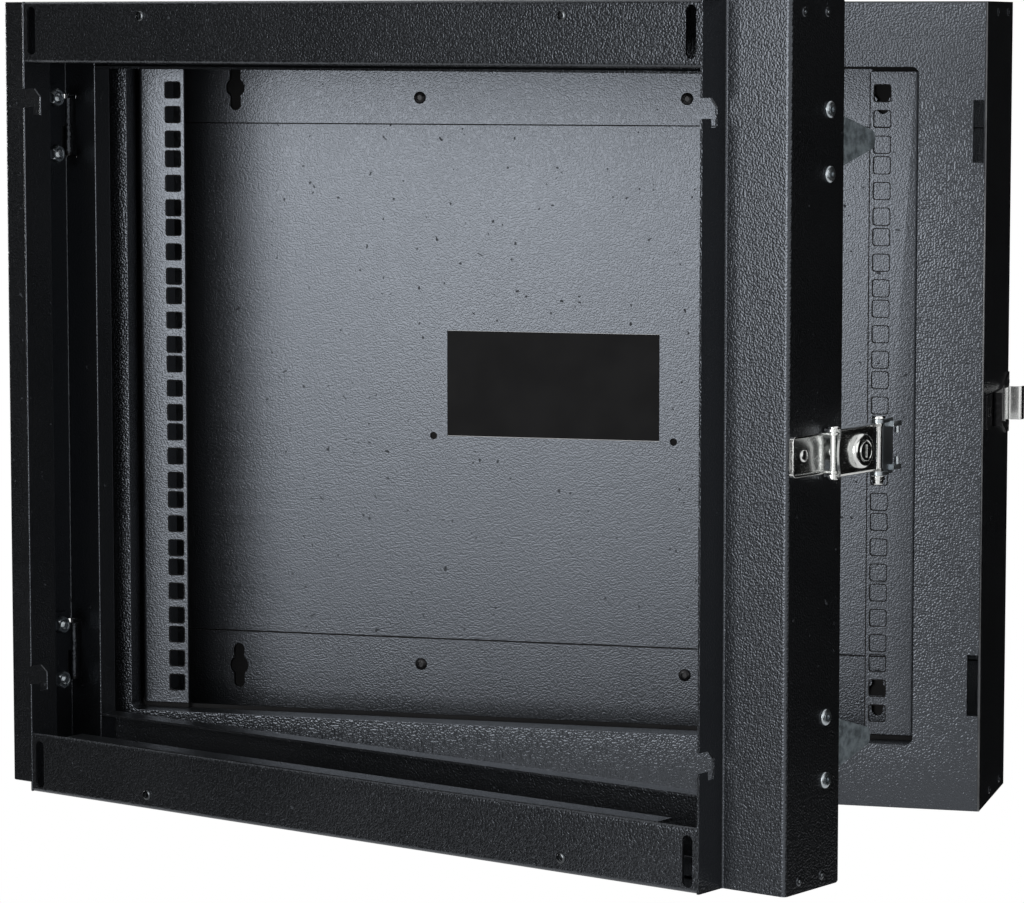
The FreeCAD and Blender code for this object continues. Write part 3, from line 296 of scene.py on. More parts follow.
@dataclass(frozen=True)
class PowderCoat:
    """Black textured powder coat: leathery relief, satin sheen, a few dull specks that look dark."""

    name: str = "powder coat black"
    tint: Colour = (0.0038, 0.0040, 0.0043)
    pale: Colour = (0.0075, 0.0077, 0.0082)
    sheen: float = 0.295
    grain: float = 1.15 * MM
    grain_tones: Pair = (0.35, 0.75)
    grain_gloss: Pair = (0.35, 0.7)
    grain_swing: float = 0.05
    relief: float = 0.19 * MM
    relief_range: Pair = (0.2, 0.8)
    relief_share: float = 0.6
    cloud: float = 90 * MM
    cloud_share: float = 0.5
    cloud_swing: float = 0.05
    speck: float = 3 * MM
    speck_range: Pair = (0.835, 0.86)
    speck_swing: float = 0.5
    specular: float = 0.9
    specular_tint: Colour = (0.82, 0.89, 1.0)

    def build(self) -> bpy.types.Material:
        """Make the material.

        Returns:
            The finish, ready to paint with.
        """
        graph = Graph.material(self.name)
        lumps = graph.noise(self.grain, detail=0.0)
        clouds = graph.noise(self.cloud)
        specks = graph.noise(self.speck, detail=0.0).between(*self.speck_range)
        patches = (self.cloud_share * clouds.between(*CLOUDY)
                   + (1.0 - self.cloud_share) * lumps.between(*self.grain_tones))
        rough = (self.sheen + self.grain_swing * lumps.between(*self.grain_gloss)
                 + self.cloud_swing * (clouds - 0.5) + self.speck_swing * specks)
        return graph.surface({
            "Base Color": graph.blend(patches, self.tint, self.pale), "Roughness": rough,
            "Specular IOR Level": self.specular, "Specular Tint": self.specular_tint,
            "Normal": graph.bump(lumps.between(*self.relief_range), self.relief, self.relief_share)})


@dataclass(frozen=True)
class ZincPlate:
    """Bright zinc plate with a faint bluish passivation and rolled streaks."""

    name: str = "zinc plate"
    tint: Colour = (0.36, 0.40, 0.43)
    pale: Colour = (0.56, 0.60, 0.62)
    metal: float = 1.0
    polish: float = 0.28
    mottle: float = 14 * MM
    mottle_share: float = 0.7
    mottle_swing: float = 0.12
    streak_scale: Point = (260.0, 260.0, 2600.0)
    streak_swing: float = 0.08
    streak_relief: float = 0.5
    relief: float = 0.08 * MM
    relief_share: float = 0.4

    def build(self) -> bpy.types.Material:
        """Make the material.

        Returns:
            The finish, ready to paint with.
        """
        graph = Graph.material(self.name)
        clouds = graph.noise(self.mottle, *MOTTLED)
        streaks = graph.streaks(self.streak_scale, detail=2.0, roughness=0.6)
        patches = self.mottle_share * clouds.between(*CLOUDY) + (1.0 - self.mottle_share) * streaks
        rough = self.polish + self.mottle_swing * (clouds - 0.5) + self.streak_swing * streaks
        return graph.surface({
            "Base Color": graph.blend(patches, self.tint, self.pale), "Metallic": self.metal,
            "Roughness": rough,
            "Normal": graph.bump(clouds + self.streak_relief * streaks, self.relief, self.relief_share)})


@dataclass(frozen=True)
class ChromePlate:
    """Polished plate with handling smudges and hairline scratches."""

    name: str = "chrome plate"
    tint: Colour = (0.70, 0.71, 0.70)
    dull: Colour = (0.52, 0.53, 0.52)
    polish: float = 0.17
    smudge: float = 9 * MM
    smudge_range: Pair = (0.45, 0.75)
    smudge_share: float = 0.6
    scratch_scale: Point = (900.0, 120.0, 2400.0)
    scratch_range: Pair = (0.62, 0.72)
    swing: float = 0.10
    ripple: float = 2.2 * MM
    relief: float = 0.03 * MM
    relief_share: float = 0.25

    def build(self) -> bpy.types.Material:
        """Make the material.

        Returns:
            The finish, ready to paint with.
        """
        graph = Graph.material(self.name)
        smudges = graph.noise(self.smudge, *MOTTLED).between(*self.smudge_range)
        hairlines = graph.streaks(self.scratch_scale, detail=1.0, roughness=0.5)
        scratches = hairlines.between(*self.scratch_range)
        return graph.surface({
            "Base Color": graph.blend(self.smudge_share * smudges, self.tint, self.dull), "Metallic": 1.0,
            "Roughness": self.polish + self.swing * smudges + self.swing * scratches,
            "Normal": graph.bump(graph.noise(self.ripple, detail=1.0), self.relief, self.relief_share)})


@dataclass(frozen=True)
class BlackMoulding:
    """Smooth matt black moulding with a fine spark texture."""

    name: str = "black moulding"
    tint: Colour = (0.0125, 0.0125, 0.013)
    pale: Colour = (0.0165, 0.0165, 0.017)
    roughness: float = 0.75
    spark: float = 0.5 * MM
    spark_swing: float = 0.1
    cloud: float = 30 * MM
    relief: float = 0.02 * MM
    relief_share: float = 0.3
    specular: float = 0.05

    def build(self) -> bpy.types.Material:
        """Make the material.

        Returns:
            The finish, ready to paint with.
        """
        graph = Graph.material(self.name)
        spark = graph.noise(self.spark, detail=1.0)
        clouds = graph.noise(self.cloud).between(*CLOUDY)
        return graph.surface({
            "Base Color": graph.blend(clouds, self.tint, self.pale),
            "Roughness": self.roughness + self.spark_swing * (spark - 0.5),
            "Specular IOR Level": self.specular,
            "Normal": graph.bump(spark, self.relief, self.relief_share)})


@dataclass(frozen=True)
class BlackOxide:
    """Oiled black oxide of small screws."""

    name: str = "black oxide"
    tint: Colour = (0.012, 0.012, 0.013)
    pale: Colour = (0.035, 0.035, 0.037)
    metal: float = 0.6
    roughness: float = 0.42
    cloud: float = 2.5 * MM
    cloud_range: Pair = (0.4, 0.75)
    cloud_swing: float = 0.2
    relief: float = 0.02 * MM
    relief_share: float = 0.3

    def build(self) -> bpy.types.Material:
        """Make the material.

        Returns:
            The finish, ready to paint with.
        """
        graph = Graph.material(self.name)
        clouds = graph.noise(self.cloud, *MOTTLED)
        return graph.surface({
            "Base Color": graph.blend(clouds.between(*self.cloud_range), self.tint, self.pale),
            "Metallic": self.metal, "Roughness": self.roughness + self.cloud_swing * (clouds - 0.5),
            "Normal": graph.bump(clouds, self.relief, self.relief_share)})


class Palette:
    """All finishes, built once: one for each slot, and other grades for pieces by how their names start."""

    def __init__(self) -> None:
        """Build every finish and grade."""
        self.finishes = {
            Slot.COAT: PowderCoat().build(),
            Slot.ZINC: ZincPlate().build(),
            Slot.CHROME: ChromePlate().build(),
            Slot.BLANK: BlackMoulding().build(),
            Slot.OXIDE: BlackOxide().build(),
        }
        fine = PowderCoat("powder coat fine", sheen=0.305, grain=0.9 * MM, relief=0.12 * MM).build()
        leather = PowderCoat("powder coat leather", sheen=0.285, grain=1.2 * MM, relief=0.29 * MM).build()
        dull = ZincPlate("zinc plate dull", tint=(0.11, 0.135, 0.15), pale=(0.42, 0.49, 0.53), metal=0.7,
                         polish=0.5, mottle=5 * MM).build()
        dark = ZincPlate("zinc plate dark", tint=(0.05, 0.054, 0.058), pale=(0.11, 0.118, 0.124),
                         polish=0.2).build()
        # Dark bare metal for the corner beads, so they catch a bright highlight line on the box's painted
        # front corners; not wear.
        highlight_metal = ZincPlate("worn edge", tint=(0.07, 0.072, 0.075), pale=(0.14, 0.145, 0.15),
                         polish=0.3).build()
        self.grades = {
            "back_panel": fine, "mounting_strip": fine, "rail_left": fine, "rail_right": fine,
            "wall_face": leather, "tongue": dull, "face_screw": dark, "wall_corner": highlight_metal,
        }

    def paint(self, thing: bpy.types.Object, slot: Slot) -> None:
        """Give an object one finish all over.

        Args:
            thing: The object; the start of its name may call for another grade.
            slot: Its finish otherwise.
        """
        graded = (look for start, look in self.grades.items() if thing.name.startswith(start))
        thing.data.materials.clear()
        thing.data.materials.append(next(graded, self.finishes[slot]))


def linked(name: str, data: bpy.types.ID) -> bpy.types.Object:
    """Put a new object into the scene.

    Args:
        name: Its name.
        data: Its mesh, light or camera.

    Returns:
        The object, at the origin and unturned.
    """
    thing = bpy.data.objects.new(name, data)
    bpy.context.scene.collection.objects.link(thing)
    return thing


def meshed(name: str, points: np.ndarray, faces: list[list[int]]) -> bpy.types.Object:
    """Put a new mesh object into the scene.

    Args:
        name: Name of the mesh and of the object.
        points: Points in metres.
        faces: Numbers of the points round each face.

    Returns:
        The object.
    """
    mesh = bpy.data.meshes.new(name)
    mesh.from_pydata(points.tolist(), [], faces)
    return linked(name, mesh)


def smooth(mesh: bpy.types.Mesh) -> None:
    """Shade a mesh smooth, but for edges from the crease angle."""
    mesh.polygons.foreach_set("use_smooth", [True] * len(mesh.polygons))
    mesh.set_sharp_from_angle(angle=CREASE)


def rounded_square(turn: np.ndarray) -> np.ndarray:
    """Superellipse of half size one: its reach at angle t is (|cos t|^8 + |sin t|^8)^(-1/8)."""
    return (np.abs(np.cos(turn)) ** 8 + np.abs(np.sin(turn)) ** 8) ** -0.125


def corners(x: float, y: float, z: float) -> tuple[Point, ...]:
    """A place mirrored left to right and top to bottom."""
    return tuple((side * x, y, level * z) for side in BOTH for level in BOTH)


@dataclass(frozen=True, eq=False)
class Shell:
    """A surface as arrays: points in millimetres, and four-sided faces and caps that point outwards."""

    points: np.ndarray
    quads: np.ndarray
    caps: list[list[int]]

    @classmethod
    def lofted(cls, rings: np.ndarray, looped: bool = False) -> "Shell":
        """Join rings of points into a closed skin.

        Args:
            rings: Points by ring and by place round the ring.
            looped: Whether the last ring joins the first, as in a nut; otherwise both ends are capped.

        Returns:
            The closed shell.
        """
        index = np.arange(rings[..., 0].size).reshape(rings.shape[:2])
        caps = [] if looped else [index[0, ::-1].tolist(), index[-1].tolist()]
        if looped:
            index = np.vstack([index, index[:1]])
        after = np.roll(index, -1, axis=1)
        quads = np.stack([index[:-1], after[:-1], after[1:], index[1:]], axis=-1).reshape(-1, 4)
        return cls(rings.reshape(-1, 3), quads, caps)

    @classmethod
    def turned(cls, profile: Sequence[Ring], sides: int = ROUND, looped: bool = False) -> "Shell":
        """Turn a profile about the height axis.

        Point (i, j) lies at height h_i, at the angle 2 pi j / sides, and at the radius
        r_i (1 - w_i + w_i / cos a), where a is the angle to the middle of the nearest of
        six flats, so a ring of w = 1 is a hexagon and a ring of w = 0 is a circle.

        Args:
            profile: Radius, height and hexagon share of each ring; the share is nought if left out.
            sides: Points round a ring.
            looped: Whether the last ring joins the first, as in a nut; otherwise both ends are capped.

        Returns:
            The closed shell about the origin.
        """
        rows = np.array([ring if len(ring) == 3 else (*ring, 0.0) for ring in profile], dtype=float)
        turn = np.arange(sides) * (2.0 * np.pi / sides)
        flat = 1.0 / np.cos((turn + np.pi / 6.0) % (np.pi / 3.0) - np.pi / 6.0)
        radius = rows[:, :1] * (1.0 - rows[:, 2:] + rows[:, 2:] * flat)
        high = np.broadcast_to(rows[:, 1:2], radius.shape)
        return cls.lofted(np.stack([radius * np.cos(turn), radius * np.sin(turn), high], axis=-1), looped)

    @classmethod
    def bar(cls, half: Point, ease: float) -> "Shell":
        """A straight bar with rounded arrises along X.

        A section is a rounded square: the point at angle t lies at the half sizes times
        (cos t, sin t) times the square's reach, drawn in by the ease at both ends.

        Args:
            half: Half length, half depth and half height.
            ease: Rounding at the ends.

        Returns:
            The closed bar about the origin.
        """
        turn = np.arange(ROUND) * (2.0 * np.pi / ROUND)
        reach = rounded_square(turn)
        along = np.array([-half[0], ease - half[0], half[0] - ease, half[0]])[:, None]
        less = np.array([ease, 0.0, 0.0, ease])[:, None]
        deep = (half[1] - less) * reach * np.cos(turn)
        high = (half[2] - less) * reach * np.sin(turn)
        return cls.lofted(np.stack([np.broadcast_to(along, deep.shape), deep, high], axis=-1))

    @classmethod
    def rim(cls, half: float, wide: float, thin: float) -> "Shell":
        """A flat rim round a rounded square, standing in the XZ plane.

        The point at angle t lies at (cos t, sin t) times the size and the square's reach. Each
        section has four points, inner and outer, back and front, and the sections close a loop.

        Args:
            half: Half size inside.
            wide: Width of the rim.
            thin: Depth of the rim along Y.

        Returns:
            The closed rim about the origin.
        """
        turn = np.arange(ROUND)[:, None] * (2.0 * np.pi / ROUND)
        size = (half + wide * np.array([0.0, 0.0, 1.0, 1.0])) * rounded_square(turn)
        deep = np.broadcast_to(thin * np.array([0.5, -0.5, -0.5, 0.5]), size.shape)
        return cls.lofted(np.stack([size * np.cos(turn), deep, size * np.sin(turn)], axis=-1), True)

    @classmethod
    def joined(cls, shells: Sequence["Shell"]) -> "Shell":
        """Put several shells into one, keeping each closed by itself.

        Args:
            shells: The shells; the points of each are numbered on from those before it.

        Returns:
            All of them as one set of shells.
        """
        steps = np.cumsum([0] + [len(shell.points) for shell in shells[:-1]])
        points = np.concatenate([shell.points for shell in shells])
        quads = np.concatenate([shell.quads + step for shell, step in zip(shells, steps)])
        caps = [(np.array(cap) + step).tolist() for shell, step in zip(shells, steps) for cap in shell.caps]
        return cls(points, quads, caps)

    def squeezed(self, wide: float, tall: float) -> "Shell":
        """The shell scaled across its height axis, so a disc becomes an oval."""
        return Shell(self.points * np.array([wide, tall, 1.0]), self.quads, self.caps)

    def moved(self, spots: Sequence[Point]) -> "Shell":
        """Copies of the shell, unturned, one at each spot."""
        return Shell.joined([Shell(self.points + np.array(spot), self.quads, self.caps) for spot in spots])

    def placed(self, spots: Sequence[Point], axis: Sequence[float]) -> "Shell":
        """Copies whose height axis points along a direction, one at each spot.

        A point (x, y, h) goes to spot + x u + y v + h axis, where u, v and axis are square
        to each other.

        Args:
            spots: Places, one for each copy.
            axis: Direction of the height axis.

        Returns:
            All the copies as one set of shells.
        """
        axis = np.asarray(axis, dtype=float) / np.linalg.norm(axis)
        side = np.cross(UP, axis) if abs(axis[2]) < UPRIGHT else np.array(RIGHT, dtype=float)
        side = side / np.linalg.norm(side)
        basis = np.stack([side, np.cross(axis, side), axis])
        return Shell(self.points @ basis, self.quads, self.caps).moved(spots)

    def thing(self, name: str) -> bpy.types.Object:
        """Make a smooth object of the shell, with its place in its mesh.

        Args:
            name: Name of the piece.

        Returns:
            The object, at the origin and unturned.
        """
        thing = meshed(name, self.points * MM, self.quads.tolist() + self.caps)
        smooth(thing.data)
        return thing


def dome(middle: float, radius: float, low: float, tall: float, lean: float, count: int) -> list[Pair]:
    """Arc of an ellipse to the angle lean: radius middle + radius cos a, height low + tall sin a."""
    turn = np.linspace(0.0, lean, count)
    return list(zip(middle + radius * np.cos(turn), low + tall * np.sin(turn)))


def raised(rings: Sequence[Ring], height: float) -> list[Ring]:
    """Rings of a profile, lifted by a height."""
    return [(ring[0], height + ring[1], *ring[2:]) for ring in rings]


@dataclass(frozen=True)
class Fastener:
    """Shapes of the small turned hardware.

    The rings of the socket, of the pull rivet's hollow and of its pin have their heights from
    the top of the head. A lean is the last angle of a head's arc, in radians.
    """

    bolt_radius: float = 3.0
    bolt_tip: float = 0.8
    bolt_neck: float = 0.9
    thread: Pair = (0.05, 0.55)
    thread_start: float = 0.6
    thread_end: float = 1.0
    pitch: float = 1.0
    head_radius: float = 4.75
    head_tall: float = 2.0
    head_chamfer: Pair = (0.2, 0.25)
    head_edge: float = 0.5
    head_lean: float = 1.25
    head_points: int = 7
    socket: tuple[Ring, ...] = ((2.55, -0.1, 0.6), (2.3, -0.35, 1.0), (2.231, -1.4, 1.0))
    nut_flats: float = 10.0
    nut_tall: float = 5.0
    nut_face: float = 0.97
    nut_chamfer: float = 0.8
    bore_play: float = 0.08
    bore_chamfer: float = 0.6
    rivet_radius: float = 1.95
    rivet_end: float = 1.9
    rivet_edge: float = 0.2
    rivet_lean: float = 1.45
    rivet_points: int = 8
    rivet_sides: int = 40
    pull_tip: Pair = (1.6, 0.4)
    pull_rim: float = 0.25
    pull_shoulder: Pair = (0.86, 0.72)
    pull_crown: float = 0.6
    pull_hollow: tuple[Ring, ...] = ((1.05, 0.0), (0.95, -0.6))
    pull_sides: int = 32
    pin: tuple[Ring, ...] = ((0.9, -0.6), (0.9, -0.25), (0.55, -0.05), (0.2, -0.12))
    pin_sides: int = 20

    def button_bolt(self, shank: float) -> Shell:
        """A button-head bolt with a hexagon socket and a threaded end.

        The head's profile is an arc of an ellipse; the thread is a zigzag of the radius.

        Args:
            shank: Length under the head.

        Returns:
            The bolt, head up, with the head's underside at height nought.
        """
        wide, tall = self.head_radius, self.head_tall
        inset, rise = self.head_chamfer
        crest, root = [self.bolt_radius - less for less in self.thread]
        steps = np.arange(self.thread_start, shank - self.thread_end, self.pitch / 2)
        thread = [(crest if number % 2 else root, -shank + step) for number, step in enumerate(steps)]
        head = dome(0.0, wide, self.head_edge, tall - self.head_edge, self.head_lean, self.head_points)
        return Shell.turned([(root * self.bolt_tip, -shank), *thread, (crest, -self.bolt_neck), (crest, 0.0),
                             (wide - inset, 0.0), (wide, rise), *head, *raised(self.socket, tall)])

    def nut(self) -> Shell:
        """A hexagon nut whose corners are chamfered by round rings at both faces.

        Returns:
            The nut, standing at height nought with its bore upright.
        """
        flat, tall, bore = self.nut_flats / 2, self.nut_tall, self.bolt_radius + self.bore_play
        face, outer, inner = flat * self.nut_face, self.nut_chamfer, self.bore_chamfer
        return Shell.turned([(face, 0.0), (flat, outer, 1.0), (flat, tall - outer, 1.0), (face, tall),
                             (bore + inner, tall), (bore, tall - inner), (bore, inner),
                             (bore + inner, 0.0)], looped=True)

    def pull_rivet(self, radius: float, tall: float, shank: float) -> Shell:
        """A pull rivet: low dome round a hollow where the pulled pin broke off.

        Args:
            radius: Radius of the head.
            tall: Height of the head.
            shank: Length under the head.

        Returns:
            The rivet, head up, with the head's underside at height nought.
        """
        body = self.rivet_radius
        tip, taper = self.pull_tip
        across, up = self.pull_shoulder
        return Shell.turned([(tip, -shank), (body, -shank + taper), (body, 0.0), (radius, 0.0),
                             (radius, self.pull_rim), (radius * across, tall * up),
                             (radius * self.pull_crown, tall), *raised(self.pull_hollow, tall)],
                            self.pull_sides)

    def pulled_pin(self, tall: float) -> Shell:
        """The broken end of a pull rivet's pin, a small stub in a head of that height."""
        return Shell.turned(raised(self.pin, tall), self.pin_sides)

    def dome_rivet(self, radius: float, tall: float, shank: float) -> Shell:
        """A solid rivet whose head is a shallow dome.

        Args:
            radius: Radius of the head.
            tall: Height of the head.
            shank: Length under the head.

        Returns:
            The rivet, head up, with the head's underside at height nought.
        """
        edge = self.rivet_edge
        head = dome(0.0, radius, edge, tall - edge, self.rivet_lean, self.rivet_points)
        return Shell.turned([(self.rivet_end, -shank), (self.rivet_radius, 0.0), (radius, 0.0), *head],
                            self.rivet_sides)


@dataclass(frozen=True)
class Bars:
    """Straight bars of one size: half sizes, rounding at the ends, and the places of their middles."""

    half: Point
    ease: float
    spots: tuple[Point, ...]

    def shell(self) -> Shell:
        """All the bars as one set of shells."""
        return Shell.bar(self.half, self.ease).moved(self.spots)


@dataclass(frozen=True)
class Fold:
    """A packed sheet to show with arrises broken to a width; if clamped, short edges narrow them all."""

    node: str
    body: Body
    slot: Slot
    arris: float
    clamp: bool = True


@dataclass
class Assembly:
    """What every sub-assembly has: the loaded frame, the finishes and ways to hang pieces."""

    frame: dict[str, Any]
    palette: Palette
    shape: ClassVar[Fastener] = Fastener()

    def hang(self, thing: bpy.types.Object, body: Body, slot: Slot, nodes: Sequence[str]) -> None:
        """Finish a new piece and let it ride.

        Args:
            thing: The piece.
            body: Body that carries it.
            slot: Its finish.
            nodes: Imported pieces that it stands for.
        """
        self.palette.paint(thing, slot)
        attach(thing, body.value)
        if nodes:
            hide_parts(*nodes)
        LOG.info("hung %s on %s", thing.name, body.value)

    def add(self, name: str, shell: Shell, body: Body, slot: Slot, *nodes: str) -> None:
        """Hang a new piece made of shells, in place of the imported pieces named."""
        self.hang(shell.thing(name), body, slot, nodes)

    def soften(self, folds: Sequence[Fold]) -> None:
        """Show packed sheets with their arrises broken, as deburring and paint leave them.

        Args:
            folds: The sheets; a copy of each is merged and its flats are joined first.
        """
        for fold in folds:
            mesh = self.frame["nodes"][fold.node].data.copy()
            mesh.name = fold.node + "_soft"
            work = bmesh.new()
            work.from_mesh(mesh)
            bmesh.ops.remove_doubles(work, verts=work.verts, dist=MERGE)
            bmesh.ops.dissolve_limit(work, angle_limit=FLAT, verts=work.verts, edges=work.edges)
            work.to_mesh(mesh)
            work.free()
            if mesh.has_custom_normals:
                mesh.normals_split_custom_set([(0.0, 0.0, 0.0)] * len(mesh.loops))
            smooth(mesh)
            thing = linked(mesh.name, mesh)
            arris = thing.modifiers.new("arris", "BEVEL")
            arris.width = fold.arris * MM
            arris.segments = ARRIS_STEPS
            arris.limit_method = "ANGLE"
            arris.angle_limit = ARRIS
            arris.harden_normals = True
            arris.use_clamp_overlap = fold.clamp
            self.hang(thing, fold.body, fold.slot, [fold.node])


@dataclass
class WallBox(Assembly):
    """The shallow box on the wall: sheets, rails, screws and the hasp's keeper."""

    half_width: float = 300.0
    screw: Point = (90.0, -3.0, 188.0)
    screw_profile: tuple[Ring, ...] = (
        (2.3, -3.0), (2.3, 0.0), (4.0, 0.0), (4.0, 0.5), (3.7, 1.1), (3.0, 1.6), (2.0, 1.95),
        (1.75, 2.0, 1.0), (1.7, 0.7, 1.0))
    screw_sides: int = 36
    bolt_depth: float = -76.5
    bolt_step: float = 9.0
    bolt_shank: float = 11.0
    catch_height: float = 171.0
    bracket_inside: float = -295.5
    keeper_rivet: Rivet = (2.8, 0.8, 3.8)
    keeper_rivets: tuple[Point, ...] = (
        (301.5, -10.5, 10.5), (301.5, -10.5, -15.5), (301.0, -86.0, -2.5), (301.0, -78.0, -2.5))
    side_rivet: Rivet = (2.4, 0.7, 3.8)
    side_rivet_depths: Pair = (-60.0, -20.0)
    side_rivet_height: float = 243.5
    # Black films behind the keyholes and small holes: painted shade, dark where the holes show only shadow.
    film: float = 0.12
    film_bevel: float = 0.3
    keyhole: Point = (218.0, 0.0, 194.0)
    keyhole_film: Pair = (11.5, 12.0)
    keyhole_stretch: float = 1.55
    entry_holes: tuple[Point, ...] = ((-81.5, 0.0, -35.0), (81.5, 0.0, -35.0))
    entry_film: Pair = (4.6, 5.0)
    entry_sides: int = 32
    # Matt black beads along the strips' edges: painted shade standing in for the shadow line at the seams.
    seam_shade_beads: Bars = Bars((294.0, 0.5, 0.42), 0.2, ((0.0, -2.0, 170.6), (0.0, -2.0, -170.6)))
    # Matt black pads at the rails' ends and strips behind the opening's top and bottom rims: painted shade,
    # dark where those gaps show only shadow.
    end_shade_pads: Bars = Bars((16.0, 2.0, 4.5), 0.5, corners(241.5, -80.9, 210.0))
    rim_shade_strips: Bars = Bars((257.0, 1.0, 2.0), 0.5, ((0.0, -77.5, 210.4), (0.0, -77.5, -210.4)))
    # Thin black line at the right rail's inner edge: painted shade along that edge.
    rail_edge_shade: Bars = Bars((0.35, 0.05, 206.5), 0.05, ((224.9, -85.0, 0.0),))
    # Matt black lips behind the hinges that close a sight gap: a dark piece standing in for the shade there.
    lips: Bars = Bars((2.1, 1.3, 11.5), 0.3, ((-302.15, -100.1, 161.0), (-302.15, -100.1, -181.0)))
    # Black rims round the rails' holes: painted shade along the holes' edges.
    hole: Point = (232.55, -85.03, -193.675)
    hole_shade_rim: Point = (5.05, 0.6, 0.06)
    hole_step: float = 15.875
    unit_step: float = 44.45
    units: int = 9
    unit_holes: int = 3
    bead_profile: tuple[Ring, ...] = ((0.4, -249.6), (0.8, -249.0), (0.8, 249.0), (0.4, 249.6))
    bead_sides: int = 24
    bead_spots: tuple[Point, ...] = ((-299.6, -101.6, 0.0), (299.6, -101.6, 0.0))
    folds: tuple[Fold, ...] = (
        Fold("rail_left", Body.WALL, Slot.COAT, 0.45),
        Fold("rail_right", Body.WALL, Slot.COAT, 0.45),
        Fold("wall_face", Body.WALL, Slot.COAT, 0.45),
        Fold("keeper", Body.WALL, Slot.OXIDE, 0.3),
        Fold("keeper_tab", Body.WALL, Slot.CHROME, 0.3),
        Fold("keeper_wear_plate", Body.WALL, Slot.OXIDE, 0.25))

    def build(self) -> None:
        """Add the hardware, the films, seams, rims and lips that paint shade as dark pieces, the bright
        corner beads, and soften the front sheets and the keeper.
        """
        self.screws()
        self.hinge_hardware()
        self.rivets()
        self.shade_films()
        self.seams()
        self.rims_and_beads()
        self.soften(self.folds)

    def screws(self) -> None:
        """Four low black screws in the panel's strips."""
        heads = Shell.turned(self.screw_profile, self.screw_sides).placed(corners(*self.screw), FRONT)
        self.add("panel_screw_heads", heads, Body.WALL, Slot.OXIDE, "panel_screws")

    def hinge_hardware(self) -> None:
        """Bolts through the left wall, with nuts on the hinge brackets inside."""
        heights = [level * self.catch_height + step * self.bolt_step for level in BOTH for step in BOTH]
        bolts = self.shape.button_bolt(self.bolt_shank).placed(
            [(-self.half_width, self.bolt_depth, z) for z in heights], LEFT)
        nuts = self.shape.nut().placed([(self.bracket_inside, self.bolt_depth, z) for z in heights], RIGHT)
        self.add("bracket_bolt_heads", bolts, Body.WALL, Slot.ZINC, "bracket_bolts")
        self.add("bracket_hex_nuts", nuts, Body.WALL, Slot.ZINC, "bracket_nuts")

    def rivets(self) -> None:
        """Domed rivets of the keeper and its wear plate, and the painted rivets of the box's corners."""
        domes = self.shape.dome_rivet(*self.keeper_rivet).placed(self.keeper_rivets, RIGHT)
        self.add("keeper_rivet_domes", domes, Body.WALL, Slot.OXIDE, "keeper_rivets")
        rivet = self.shape.pull_rivet(*self.side_rivet)
        places = [(y, level * self.side_rivet_height) for y in self.side_rivet_depths for level in BOTH]
        domes = Shell.joined([rivet.placed([(side * self.half_width, y, z) for y, z in places], (side, 0, 0))
                              for side in BOTH])
        self.add("wall_rivet_domes", domes, Body.WALL, Slot.COAT)

    def patch(self, near: float, far: float, sides: int = ROUND) -> Shell:
        """A thin round black film of painted shade, with a smaller radius where it lies on the rear face."""
        return Shell.turned(((near, 0.0), (far, self.film_bevel * self.film), (far, self.film)), sides)

    def shade_films(self) -> None:
        """Thin black film on the rear face behind keyholes and small holes: painted shade, dark as the
        holes' shadow, so no wall shows through.
        """
        oval = self.patch(*self.keyhole_film).squeezed(1.0, self.keyhole_stretch)
        self.add("keyhole_shade_film", oval.placed(corners(*self.keyhole), BACK), Body.WALL, Slot.BLANK)
        disc = self.patch(*self.entry_film, self.entry_sides)
        self.add("entry_hole_shade_film", disc.placed(self.entry_holes, BACK), Body.WALL, Slot.BLANK)

    def seams(self) -> None:
        """Dark beads along the strips, and dark pads and strips at the rails' ends and the opening's rims:
        painted shade for the shadow lines in those gaps.
        """
        self.add("strip_seam_shade_beads", self.seam_shade_beads.shell(), Body.WALL, Slot.BLANK)
        self.add("rail_end_shade_pads", self.end_shade_pads.shell(), Body.WALL, Slot.BLANK)
        self.add("opening_rim_shade_strips", self.rim_shade_strips.shell(), Body.WALL, Slot.BLANK)

    def rims_and_beads(self) -> None:
        """Dark rims of the rails' holes and right edge, painted shade along those edges; bright corner
        beads; and dark lips behind the hinges, painted shade in the sight gap there.
        """
        x, y, low = self.hole
        spots = [(side * x, y, low + self.hole_step * hole + self.unit_step * unit)
                 for side in BOTH for unit in range(self.units) for hole in range(self.unit_holes)]
        rims = Shell.joined([Shell.rim(*self.hole_shade_rim).moved(spots), self.rail_edge_shade.shell()])
        self.add("rail_hole_shade_rims", rims, Body.WALL, Slot.BLANK)
        # Corner beads in the bare-metal grade, which catches the lamps as a bright highlight line.
        beads = Shell.turned(self.bead_profile, self.bead_sides).moved(self.bead_spots)
        self.add("wall_corner_beads", beads, Body.WALL, Slot.COAT)
        self.add("hinge_gap_shade_lips", self.lips.shell(), Body.WALL, Slot.BLANK)


